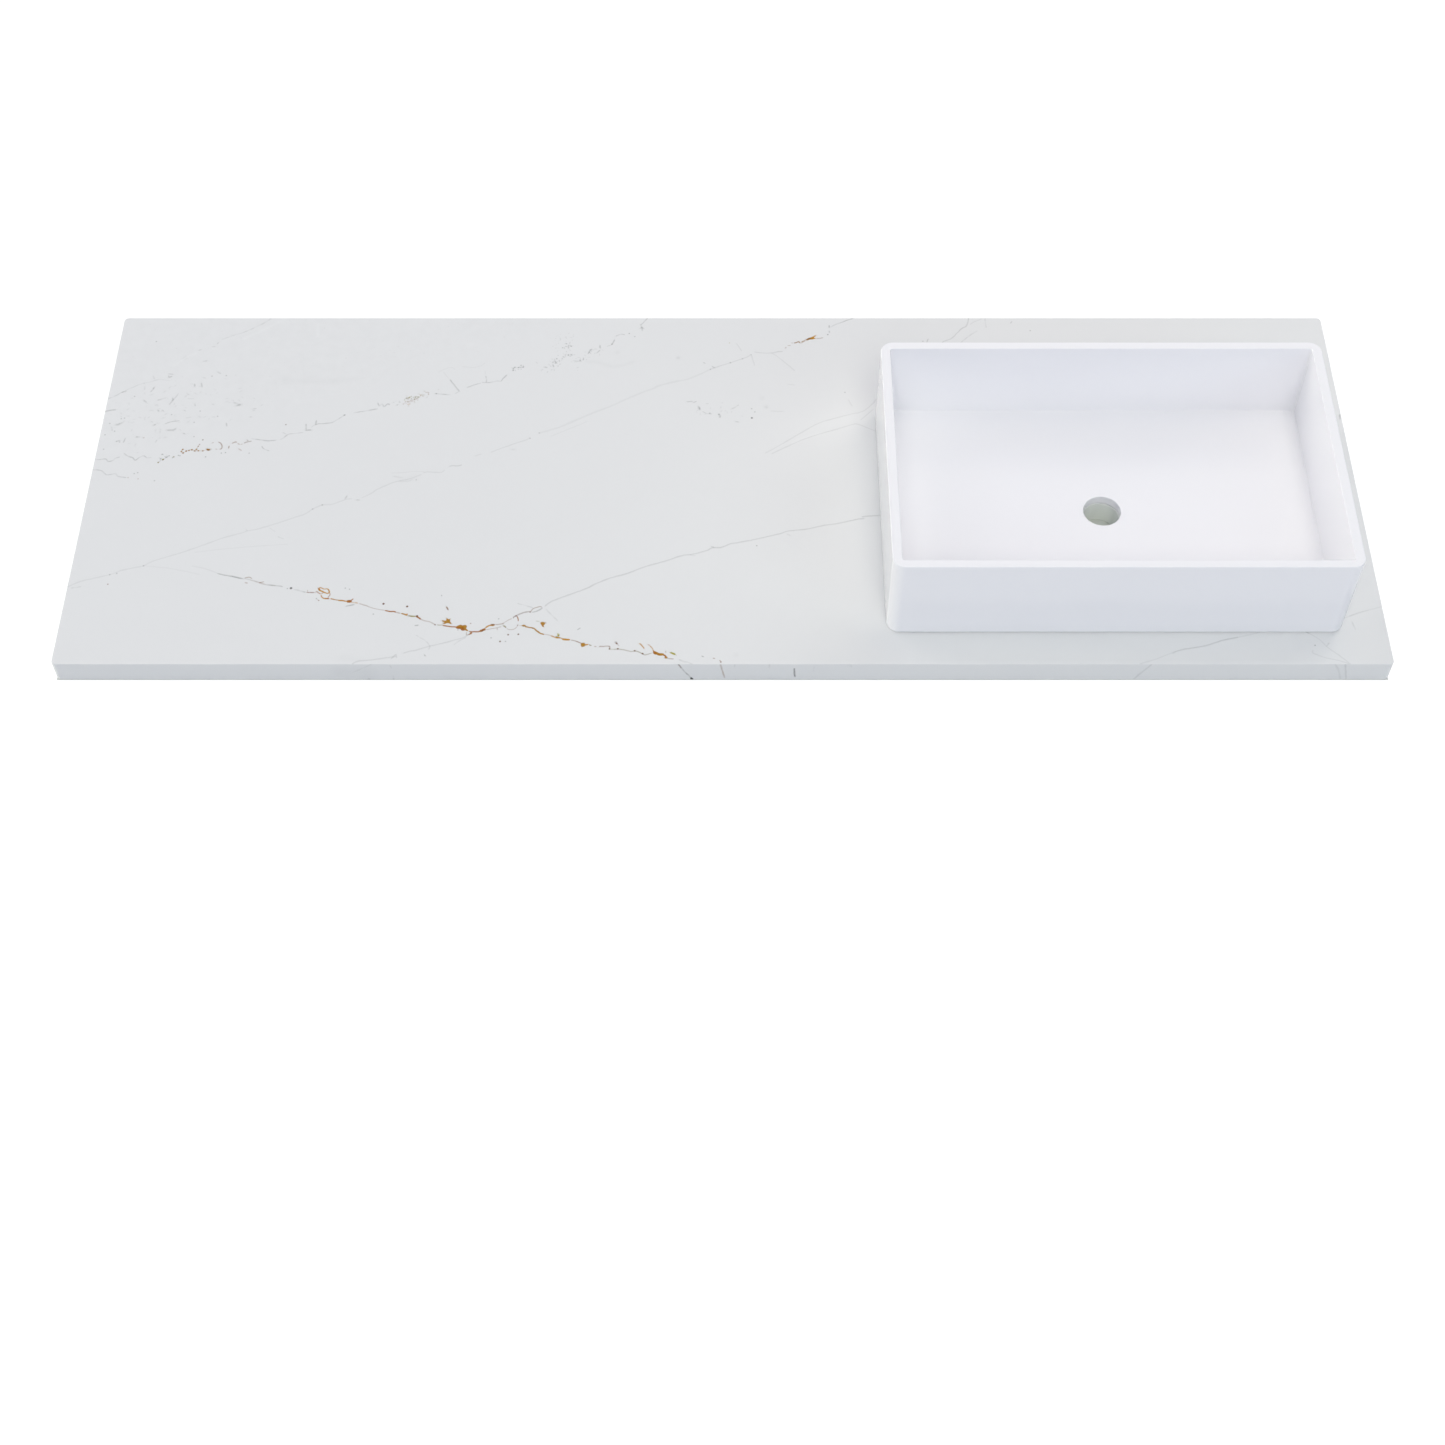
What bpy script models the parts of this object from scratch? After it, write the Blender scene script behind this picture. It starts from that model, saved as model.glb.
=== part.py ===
"""Vanity sink top: a stone slab with a rectangular vessel basin bedded on it in silicone.

Metres, +Z up. The origin is the middle of the slab's underside. +X runs along the slab towards the
basin's end, -Y is the front, where a person stands, and +Y is the wall.
"""

import math

import bmesh
import bpy

# Slab
SLAB_WIDTH = 1.549
SLAB_DEPTH = 0.559
SLAB_THICKNESS = 0.030
SLAB_CORNER_RADIUS = 0.0055
SLAB_ARRIS = 0.0010
SLAB_DRAIN_DIAMETER = 0.045
SLAB_DRAIN_ARRIS = 0.0010

# Basin: the side walls stand at its left and right, and the front wall is as thick as the back one
BASIN_WIDTH = 0.532
BASIN_DEPTH = 0.350
BASIN_HEIGHT = 0.120
BASIN_SIDE_WALL = 0.0115
BASIN_FRONT_WALL = 0.0110
BASIN_FLOOR = 0.0120
BASIN_CORNER_RADIUS = 0.015
BASIN_RIM_ROUNDING = 0.0010
BASIN_FOOT_ROUNDING = 0.0015
BOWL_CORNER_RADIUS = 0.0030
BOWL_FLOOR_FILLET = 0.0015
BASIN_DRAIN_DIAMETER = 0.045

# Place of the basin on the slab, from the slab's edges to the basin's outer faces
BASIN_RIGHT_MARGIN = 0.0515
BASIN_FRONT_MARGIN = 0.0455

# Silicone beads between the two
BEAD_THICKNESS = 0.0004
BEAD_WIDTH = 0.006
BEAD_SETBACK = 0.004
BEAD_LEAST_RADIUS = 0.003
DRAIN_BEAD_SETBACK = 0.008
SEAT_GAP = 0.0003

# How finely curved edges are divided, in facets
CORNER_SEGMENTS = 8
ROUNDING_SEGMENTS = 3
BOWL_CORNER_SEGMENTS = 4
HOLE_SIDES = 64
HOLE_ROUNDING_SEGMENTS = 2

# How far a cutter stands past the material it cuts
CUTTER_OVERRUN = 0.010

# Edges that meet more sharply than this are rounded after a cut
SHARP_ANGLE = math.radians(40.0)

# Finishes: 8-bit screen colour and roughness
STONE_COLOUR = (227, 229, 230)
STONE_ROUGHNESS = 0.12
BASIN_COLOUR = (240, 240, 246)
BASIN_ROUGHNESS = 0.15
SILICONE_COLOUR = (196, 198, 202)
SILICONE_ROUGHNESS = 0.45

# Places that follow from the sizes above
BASIN_X = SLAB_WIDTH / 2 - BASIN_RIGHT_MARGIN - BASIN_WIDTH / 2
BASIN_Y = -SLAB_DEPTH / 2 + BASIN_FRONT_MARGIN + BASIN_DEPTH / 2
BEAD_Z = SLAB_THICKNESS + SEAT_GAP
BASIN_Z = BEAD_Z + BEAD_THICKNESS + SEAT_GAP


def clear_scene():
    """Removes whatever the file opened with."""
    for old in list(bpy.data.objects):
        bpy.data.objects.remove(old, do_unlink=True)


def new_collection(name):
    """A collection linked to the scene."""
    collection = bpy.data.collections.new(name)
    bpy.context.scene.collection.children.link(collection)
    return collection


def linear(level):
    """An 8-bit screen level as linear light."""
    share = level / 255
    if share <= 0.04045:
        return share / 12.92
    return ((share + 0.055) / 1.055) ** 2.4


def finish(name, colour, roughness):
    """A plain Principled material."""
    material = bpy.data.materials.new(name)
    material.use_nodes = True
    shader = material.node_tree.nodes["Principled BSDF"]
    shader.inputs["Base Color"].default_value = (*map(linear, colour), 1.0)
    shader.inputs["Roughness"].default_value = roughness
    shader.inputs["Metallic"].default_value = 0.0
    material.diffuse_color = (*map(linear, colour), 1.0)
    material.roughness = roughness
    return material


def round_edges(bm, wanted, radius, segments):
    """Rounds the edges that wanted(edge) picks, with arcs of one radius."""
    edges = [edge for edge in bm.edges if wanted(edge)]
    bmesh.ops.bevel(
        bm,
        geom=edges,
        offset=radius,
        offset_type="OFFSET",
        segments=segments,
        profile=0.5,
        affect="EDGES",
        clamp_overlap=True,
    )


def is_upright(edge):
    """Whether an edge runs along Z."""
    run = edge.verts[1].co - edge.verts[0].co
    return abs(run.z) > abs(run.x) + abs(run.y)


def lies_at(edge, height):
    """Whether an edge lies in the level plane at a height."""
    return all(math.isclose(vert.co.z, height, abs_tol=1e-6) for vert in edge.verts)


def rounded_box(width, depth, height, corner_radius, corner_segments, foot, top):
    """A box that stands on z = 0, centred in plan, with its corners, foot and top edges rounded."""
    bm = bmesh.new()
    bmesh.ops.create_cube(bm, size=1.0)
    bmesh.ops.scale(bm, vec=(width, depth, height), verts=bm.verts)
    bmesh.ops.translate(bm, vec=(0.0, 0.0, height / 2), verts=bm.verts)
    round_edges(bm, is_upright, corner_radius, corner_segments)
    if foot:
        round_edges(bm, lambda edge: lies_at(edge, 0.0), foot, ROUNDING_SEGMENTS)
    if top:
        round_edges(bm, lambda edge: lies_at(edge, height), top, ROUNDING_SEGMENTS)
    return bm


def place(name, bm, location, collection, material):
    """Makes an object from a bmesh and puts it in a collection."""
    mesh = bpy.data.meshes.new(name)
    bm.to_mesh(mesh)
    bm.free()
    mesh.shade_smooth()
    mesh.set_sharp_from_angle(angle=SHARP_ANGLE)
    obj = bpy.data.objects.new(name, mesh)
    obj.location = location
    if material:
        mesh.materials.append(material)
    collection.objects.link(obj)
    return obj


def hide_cutter(cutter):
    """Keeps a cutter out of the render and drawn as wire."""
    cutter.hide_render = True
    cutter.display_type = "WIRE"
    return cutter


def round_cutter(name, diameter, location, height, cutters):
    """An upright cylinder that passes through a plate from location up, with an overrun at each end."""
    bm = bmesh.new()
    length = height + 2 * CUTTER_OVERRUN
    bmesh.ops.create_cone(
        bm,
        cap_ends=True,
        segments=HOLE_SIDES,
        radius1=diameter / 2,
        radius2=diameter / 2,
        depth=length,
    )
    middle = (location[0], location[1], location[2] + height / 2)
    return hide_cutter(place(name, bm, middle, cutters, None))


def cut(body, name, cutter):
    """Takes a cutter's shape out of a body."""
    boolean = body.modifiers.new(name, "BOOLEAN")
    boolean.operation = "DIFFERENCE"
    boolean.solver = "EXACT"
    boolean.object = cutter


def round_cut_edges(body, name, radius):
    """Rounds the sharp edges that cuts have left."""
    bevel = body.modifiers.new(name, "BEVEL")
    bevel.width = radius
    bevel.segments = HOLE_ROUNDING_SEGMENTS
    bevel.limit_method = "ANGLE"
    bevel.angle_limit = SHARP_ANGLE


def shade_flat_faces_flat(body):
    """Lets the large flat faces set the shading, so that only the rounded edges look round."""
    weighted = body.modifiers.new("flat_faces", "WEIGHTED_NORMAL")
    weighted.keep_sharp = True


def make_slab(parts, cutters):
    """The countertop: a stone slab with eased edges and the drain hole under the basin."""
    bm = rounded_box(
        SLAB_WIDTH,
        SLAB_DEPTH,
        SLAB_THICKNESS,
        SLAB_CORNER_RADIUS,
        CORNER_SEGMENTS,
        foot=SLAB_ARRIS,
        top=SLAB_ARRIS,
    )
    stone = finish("stone", STONE_COLOUR, STONE_ROUGHNESS)
    slab = place("countertop_slab", bm, (0.0, 0.0, 0.0), parts, stone)
    drain = round_cutter(
        "slab_drain_cutter",
        SLAB_DRAIN_DIAMETER,
        (BASIN_X, BASIN_Y, 0.0),
        SLAB_THICKNESS,
        cutters,
    )
    cut(slab, "drain_hole", drain)
    round_cut_edges(slab, "drain_arris", SLAB_DRAIN_ARRIS)
    shade_flat_faces_flat(slab)
    return slab


def make_bowl_cutter(cutters):
    """The hollow of the basin, from its floor up past the rim."""
    bowl_depth = BASIN_HEIGHT - BASIN_FLOOR
    bm = rounded_box(
        BASIN_WIDTH - 2 * BASIN_SIDE_WALL,
        BASIN_DEPTH - 2 * BASIN_FRONT_WALL,
        bowl_depth + CUTTER_OVERRUN,
        BOWL_CORNER_RADIUS,
        BOWL_CORNER_SEGMENTS,
        foot=BOWL_FLOOR_FILLET,
        top=None,
    )
    floor = (BASIN_X, BASIN_Y, BASIN_Z + BASIN_FLOOR)
    return hide_cutter(place("bowl_cutter", bm, floor, cutters, None))


def make_basin(parts, cutters):
    """The vessel basin: one cast shell with upright walls, a flat floor and a drain hole."""
    bm = rounded_box(
        BASIN_WIDTH,
        BASIN_DEPTH,
        BASIN_HEIGHT,
        BASIN_CORNER_RADIUS,
        CORNER_SEGMENTS,
        foot=BASIN_FOOT_ROUNDING,
        top=BASIN_RIM_ROUNDING,
    )
    glaze = finish("basin_white", BASIN_COLOUR, BASIN_ROUGHNESS)
    basin = place("vessel_basin", bm, (BASIN_X, BASIN_Y, BASIN_Z), parts, glaze)
    drain = round_cutter(
        "basin_drain_cutter",
        BASIN_DRAIN_DIAMETER,
        (BASIN_X, BASIN_Y, BASIN_Z),
        BASIN_FLOOR,
        cutters,
    )
    cut(basin, "bowl", make_bowl_cutter(cutters))
    cut(basin, "drain_hole", drain)
    round_cut_edges(basin, "rim_and_drain_rounding", BASIN_RIM_ROUNDING)
    shade_flat_faces_flat(basin)
    return basin


def rounded_outline(width, depth, radius):
    """The points of a rectangle with arcs at its corners, centred on the origin."""
    points = []
    for corner, (side_x, side_y) in enumerate(((1, 1), (-1, 1), (-1, -1), (1, -1))):
        centre_x = side_x * (width / 2 - radius)
        centre_y = side_y * (depth / 2 - radius)
        for step in range(CORNER_SEGMENTS + 1):
            angle = (corner + step / CORNER_SEGMENTS) * math.pi / 2
            x = centre_x + radius * math.cos(angle)
            y = centre_y + radius * math.sin(angle)
            points.append((x, y))
    return points


def round_outline(diameter):
    """The points of a circle about the origin."""
    turn = 2 * math.pi / HOLE_SIDES
    radius = diameter / 2
    return [
        (radius * math.cos(side * turn), radius * math.sin(side * turn))
        for side in range(HOLE_SIDES)
    ]


def make_bead(name, outer, inner, parts, silicone):
    """A flat silicone bead between two outlines, on the slab and under the basin."""
    curve = bpy.data.curves.new(name, "CURVE")
    curve.dimensions = "2D"
    curve.fill_mode = "BOTH"
    curve.extrude = BEAD_THICKNESS / 2
    for outline in (outer, inner):
        spline = curve.splines.new("POLY")
        spline.points.add(len(outline) - 1)
        for point, (x, y) in zip(spline.points, outline):
            point.co = (x, y, 0.0, 1.0)
        spline.use_cyclic_u = True
    curve.materials.append(silicone)
    bead = bpy.data.objects.new(name, curve)
    bead.location = (BASIN_X, BASIN_Y, BEAD_Z + BEAD_THICKNESS / 2)
    parts.objects.link(bead)
    return bead


def inset_outline(inset):
    """The basin's foot outline, drawn in by an inset on every side."""
    return rounded_outline(
        BASIN_WIDTH - 2 * inset,
        BASIN_DEPTH - 2 * inset,
        max(BASIN_CORNER_RADIUS - inset, BEAD_LEAST_RADIUS),
    )


def make_beads(parts):
    """The bead under the basin's foot and the one that seals round the drain."""
    silicone = finish("silicone", SILICONE_COLOUR, SILICONE_ROUGHNESS)
    outside = BASIN_FOOT_ROUNDING + BEAD_SETBACK
    make_bead(
        "foot_silicone_bead",
        inset_outline(outside),
        inset_outline(outside + BEAD_WIDTH),
        parts,
        silicone,
    )
    inside = max(BASIN_DRAIN_DIAMETER, SLAB_DRAIN_DIAMETER) + 2 * DRAIN_BEAD_SETBACK
    make_bead(
        "drain_silicone_bead",
        round_outline(inside + 2 * BEAD_WIDTH),
        round_outline(inside),
        parts,
        silicone,
    )


def main():
    """Builds the sink top."""
    clear_scene()
    parts = new_collection("vanity_sink_top")
    cutters = new_collection("cutters")
    make_slab(parts, cutters)
    make_basin(parts, cutters)
    make_beads(parts)


main()
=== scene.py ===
"""Dresses a vanity sink top: a veined stone slab, a white vessel basin and the silicone under it.

Metres, +Z up, with the origin in the middle of the slab's underside. The stone's pattern is given
in millimetres from the middle of the slab, and one constant turns it into metres.
"""

import logging
import math
import random
from collections.abc import Sequence
from dataclasses import dataclass, field
from enum import Enum

import bpy
import numpy as np
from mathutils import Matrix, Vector, noise
from mathutils.geometry import delaunay_2d_cdt


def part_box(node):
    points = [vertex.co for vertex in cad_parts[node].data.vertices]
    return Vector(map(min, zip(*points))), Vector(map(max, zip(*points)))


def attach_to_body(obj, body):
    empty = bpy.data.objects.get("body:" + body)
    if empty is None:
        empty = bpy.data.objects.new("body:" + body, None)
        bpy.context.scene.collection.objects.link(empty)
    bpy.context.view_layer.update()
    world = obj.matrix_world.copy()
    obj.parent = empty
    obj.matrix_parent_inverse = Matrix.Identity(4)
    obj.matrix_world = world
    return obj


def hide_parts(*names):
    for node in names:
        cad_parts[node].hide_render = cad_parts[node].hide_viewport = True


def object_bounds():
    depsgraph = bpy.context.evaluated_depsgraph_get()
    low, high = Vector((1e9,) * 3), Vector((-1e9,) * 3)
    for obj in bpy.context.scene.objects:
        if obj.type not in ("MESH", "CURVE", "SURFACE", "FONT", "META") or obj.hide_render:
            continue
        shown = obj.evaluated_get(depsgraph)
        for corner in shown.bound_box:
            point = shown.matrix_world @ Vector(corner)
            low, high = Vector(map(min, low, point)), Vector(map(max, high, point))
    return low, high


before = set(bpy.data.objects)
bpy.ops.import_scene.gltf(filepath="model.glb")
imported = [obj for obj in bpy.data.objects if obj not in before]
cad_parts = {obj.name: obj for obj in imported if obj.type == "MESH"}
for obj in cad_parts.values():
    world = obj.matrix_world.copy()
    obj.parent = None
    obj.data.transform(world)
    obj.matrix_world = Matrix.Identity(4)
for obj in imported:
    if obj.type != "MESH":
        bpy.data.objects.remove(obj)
cad_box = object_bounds()

LOG = logging.getLogger("sink_top")
ROOT_BODY = "root"
MM = 0.001
# Lengths that are as good as nothing: points this close are one, and no divisor falls below the other
MERGE_WITHIN = 1e-6
TINY = 1e-12

Point = tuple[float, float]
Path = tuple[Point, ...]
Colour = tuple[float, float, float, float]


def srgb(red: float, green: float, blue: float) -> Colour:
    """Turn a colour as seen on a screen into the linear one that a shader takes.

    Args:
        red: Screen value from 0 to 255.
        green: Screen value from 0 to 255.
        blue: Screen value from 0 to 255.

    Returns:
        Linear red, green and blue, and a full alpha.
    """
    straight_below, slope, offset, power = 0.04045, 12.92, 0.055, 2.4
    linear = []
    for value in (red / 255, green / 255, blue / 255):
        curved = ((value + offset) / (1 + offset)) ** power
        linear.append(value / slope if value <= straight_below else curved)
    return (*linear, 1.0)


class Hue(Enum):
    """Colours of the marks in the stone, and of the painted light on the drain hole's wall, as seen on a
    screen.
    """

    GREY = (112, 116, 116)
    COAL = (48, 50, 52)
    CHALK = (246, 248, 248)
    EARTH = (104, 66, 46)
    UMBER = (134, 96, 68)
    DRAB = (122, 110, 40)
    BRONZE = (142, 98, 13)
    RUST = (155, 93, 12)
    GOLD = (165, 118, 14)
    AMBER = (183, 130, 16)
    OLIVE = (156, 150, 18)
    # Paler, greener colour on the drain hole's wall: painted light that lifts the shade inside the hole
    PAINTED_BORE_LIGHT = (237, 241, 237)

    def linear(self) -> np.ndarray:
        """Give the colour as a shader takes it."""
        return np.array(srgb(*self.value)[:3])


class Flow(Enum):
    """How a mark holds its colour along its length: least and most share, and wave length in mm."""

    STEADY = (0.8, 1.0, 16.0)
    BROKEN = (0.4, 1.1, 6.0)


@dataclass(frozen=True)
class Mark:
    """A vein, dash or dot in the stone.

    A path of one point is a dot, and its width is the dot's diameter.
    """

    pigment: Hue
    width: float
    cover: float
    flow: Flow
    path: Path


def veins(pigment: Hue, width: float, cover: float, *paths: Path) -> list[Mark]:
    """Make marks that hold their colour along their length.

    Args:
        pigment: Their colour.
        width: Full width in millimetres.
        cover: Share of the stone's colour that they hide at the middle. Above 1, a core is solid.
        *paths: Points in millimetres, one path for each mark.

    Returns:
        One mark for each path.
    """
    return [Mark(pigment, width, cover, Flow.STEADY, path) for path in paths]


def dashes(pigment: Hue, width: float, cover: float, *paths: Path) -> list[Mark]:
    """Make marks like veins, but with a colour that comes and goes along them."""
    return [Mark(pigment, width, cover, Flow.BROKEN, path) for path in paths]


def dots(pigment: Hue, width: float, cover: float, *points: Point) -> list[Mark]:
    """Make round spots of one colour, width in millimetres and cover, one at each point."""
    return veins(pigment, width, cover, *((point,) for point in points))


def crumbs(pigment: Hue, width: float, cover: float, count: int, middle: Point, spread: Point,
           tilt: float, seed: int) -> list[Mark]:
    """Scatter short strokes, closest together in the middle of a patch.

    Args:
        pigment: Their colour.
        width: Full width in millimetres.
        cover: Share of the stone's colour that they hide.
        count: How many.
        middle: The patch's middle.
        spread: How far most of them lie from the middle, along the patch and across it.
        tilt: The patch's direction in degrees.
        seed: Fixes their places.

    Returns:
        One mark for each stroke.
    """
    scatter = 0.5
    shortest, longest = 0.8, 1.8
    dice = random.Random(seed)
    turn = math.radians(tilt)
    paths = []
    for _ in range(count):
        along = dice.gauss(0, scatter) * spread[0]
        across = dice.gauss(0, scatter) * spread[1]
        x = middle[0] + along * math.cos(turn) - across * math.sin(turn)
        y = middle[1] + along * math.sin(turn) + across * math.cos(turn)
        angle = dice.uniform(0, math.tau)
        reach = dice.uniform(shortest, longest)
        end = (x + reach * math.cos(angle), y + reach * math.sin(angle))
        paths.append(((2 * x - end[0], 2 * y - end[1]), end))
    return veins(pigment, width, cover, *paths)


# Long veins that cross the top, from the left edge to the back, and from the front to the basin
LONG_VEINS = [
    *veins(Hue.GREY, 2.8, 0.15,
        ((-782, -171), (-766, -160.5), (-757, -156), (-745, -152.5), (-726, -146.5), (-714, -140.5),
        (-700, -136.5), (-689, -133.5), (-680, -127), (-660, -118.5), (-645, -112.5), (-620, -100.5),
        (-600, -90.5), (-578, -82.5), (-572, -79.5), (-560, -76.5), (-540, -68.5), (-520, -59.5),
        (-505, -52.5), (-497, -45), (-486, -38.5), (-475, -37.5), (-465, -33), (-458, -29.5),
        (-450, -28.5)),
        ((-440, -27.5), (-434, -24), (-427, -19), (-422, -14), (-412, -7.5), (-402, -2), (-394, 0.5),
        (-385, 3), (-376, 7), (-369, 11)),
        ((473, -285), (482, -278.5), (500, -272), (530, -259), (560, -252.5), (580, -245), (600, -240),
        (617, -235.5), (640, -228)),
        ((720, -214), (731, -210.5), (745, -204.5), (760, -199.5), (784, -192))),
    *veins(Hue.GREY, 3.0, 0.24, ((-432, -285), (-422, -275.5), (-405, -273), (-385, -269.5), (-377, -268)),
        ((-370, -263.5), (-365, -261.5), (-355, -259), (-340, -253.5), (-325, -249), (-310, -244),
        (-300, -240), (-295.5, -235.5), (-293, -233)), ((-383, -272), (-377, -264.5)),
        ((-376, -271), (-377.5, -265))),
    *veins(Hue.GREY, 3.0, 0.3,
        ((-209, -195), (-206.5, -192), (-203, -189), (-197.5, -185.5), (-180, -177), (-163, -169),
        (-150, -161), (-140, -155.5), (-130, -151), (-118, -147), (-108.5, -143), (-100, -138.5),
        (-90, -134), (-80, -130.5), (-65, -125), (-55, -120.5), (-45, -117), (-35, -115.5), (-20, -110.5),
        (-12.5, -106), (-5, -105.5), (0, -104.5), (10, -99.5), (20, -97.5), (40, -92.5), (60, -86.5),
        (70, -83.5), (80, -79.5), (100, -77), (120, -71.5), (140, -67.5), (160, -62), (172, -59.5)),
        ((168, -57.5), (174, -56.5), (190, -55), (205, -54.5)),
        ((280, 232), (284, 237), (292, 241), (296, 244), (303, 253), (309.5, 261), (315, 265), (318.5, 277),
        (319, 288))),
    *veins(Hue.GREY, 2.6, 0.21,
        ((-15.5, 188), (-5, 193), (10, 199.5), (25, 206.5), (33, 210.5), (36.5, 214.5)),
        ((40, 218.5), (50, 217), (62, 216.5), (70, 218.5), (78, 219.5))),
    *veins(Hue.GREY, 2.8, 0.17,
        ((52, 45), (60, 50.5), (78, 64), (100, 81), (120, 95.5), (140, 103.5), (160, 110.5), (178, 117),
        (194.5, 137), (200, 150)),
        ((60, 44), (80, 56.5), (100, 68), (120, 77), (140, 84.5), (160, 92.5), (168, 94), (180, 88),
        (193, 81), (204, 76))),
    *veins(Hue.GREY, 2.8, 0.2, ((520, -264), (530, -259), (560, -252.5), (580, -245), (600, -240)),
        ((676, -229), (683, -235))),
    *veins(Hue.GREY, 2.4, 0.17,
        ((676, -230), (692, -242), (700, -253.5), (705, -259), (714, -268), (728, -284)),
        ((684, -258), (683, -263), (690, -267), (700, -271), (718, -276.5), (728, -283)),
        ((319.5, 267), (325, 272), (335, 277.5), (345, 286)), ((62, 216.5), (70, 210.5), (92.5, 185)),
        ((36.5, 214), (38.5, 206), (41, 193.5)), ((17.5, 234.5), (25, 219.5)), ((172, 100), (190, 120)),
        ((-40, -116.5), (-31.5, -118.5))),
    *dashes(Hue.GREY, 2.6, 0.2,
        ((-783, 131), (-775, 136), (-765, 142), (-758, 148), (-745, 157), (-735, 163), (-725, 166),
        (-715, 170), (-705, 169), (-699, 168)),
        ((-645, 240), (-628, 249), (-620, 252), (-610, 258), (-600, 265), (-590, 273), (-578, 287)),
        ((-770, -167.5), (-757, -165)), ((305, 234), (318, 247.5), (329.5, 257)),
        ((340, 288), (340, 272), (340.5, 261)), ((-312, -251.5), (-305, -245), (-297.5, -240.5)),
        ((-357, -237), (-345, -245.5), (-339.5, -253), (-340.5, -259)),
        ((-242, -190), (-230, -194), (-222, -197)), ((-208, -198), (-200, -207.5), (-192, -217)),
        ((-535, -88), (-526, -92.5)), ((-546.5, -74.5), (-537.5, -81)), ((735, -216), (738, -230)),
        ((-443, -195), (-431, -191.5))),
    *veins(Hue.GREY, 2.8, 0.07, ((-689, -133.5), (-660, -137), (-640, -141.5), (-620, -147)),
        ((-632, -113), (-600, -108), (-560, -103.5), (-520, -100))),
    *veins(Hue.GREY, 2.6, 0.11, ((-632, -133.5), (-615, -138), (-598, -145.5))),
    # The middle of the longest vein, which parts into strands
    *veins(Hue.GREY, 2.8, 0.16, ((-368, 13), (-362, 14.6), (-352, 14), (-345, 14.4), (-341, 18.5)),
        ((-287, 46.5), (-275, 53), (-256, 62), (-243, 68), (-238.5, 72.5))),
    *veins(Hue.GREY, 2.8, 0.27, ((-337, 23.5), (-332, 25), (-326, 24.5), (-320, 26.5))),
    *veins(Hue.GREY, 3.4, 0.12, ((-306, 40.5), (-302, 42.5), (-297, 44)),
        ((-396, 0), (-386, -0.5), (-379, 3)), ((-404, 7.5), (-392, 5.5)), ((-262, 52), (-256, 51))),
    *veins(Hue.GREY, 2.6, 0.08, ((-408, 13), (-395, 13.5), (-380, 15), (-366, 15.6)),
        ((-214, 73), (-200, 81), (-180, 92), (-168, 99))),
    *veins(Hue.GREY, 4.4, 0.105,
        ((-228, 79), (-212, 85), (-200, 90.5), (-180, 102.5), (-160, 114), (-140, 124.5), (-120, 137),
        (-100, 148.5), (-87.5, 154.5), (-80, 159.5), (-60, 166.5), (-45, 170.5), (-30, 178.5),
        (-15.5, 188))),
]

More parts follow.
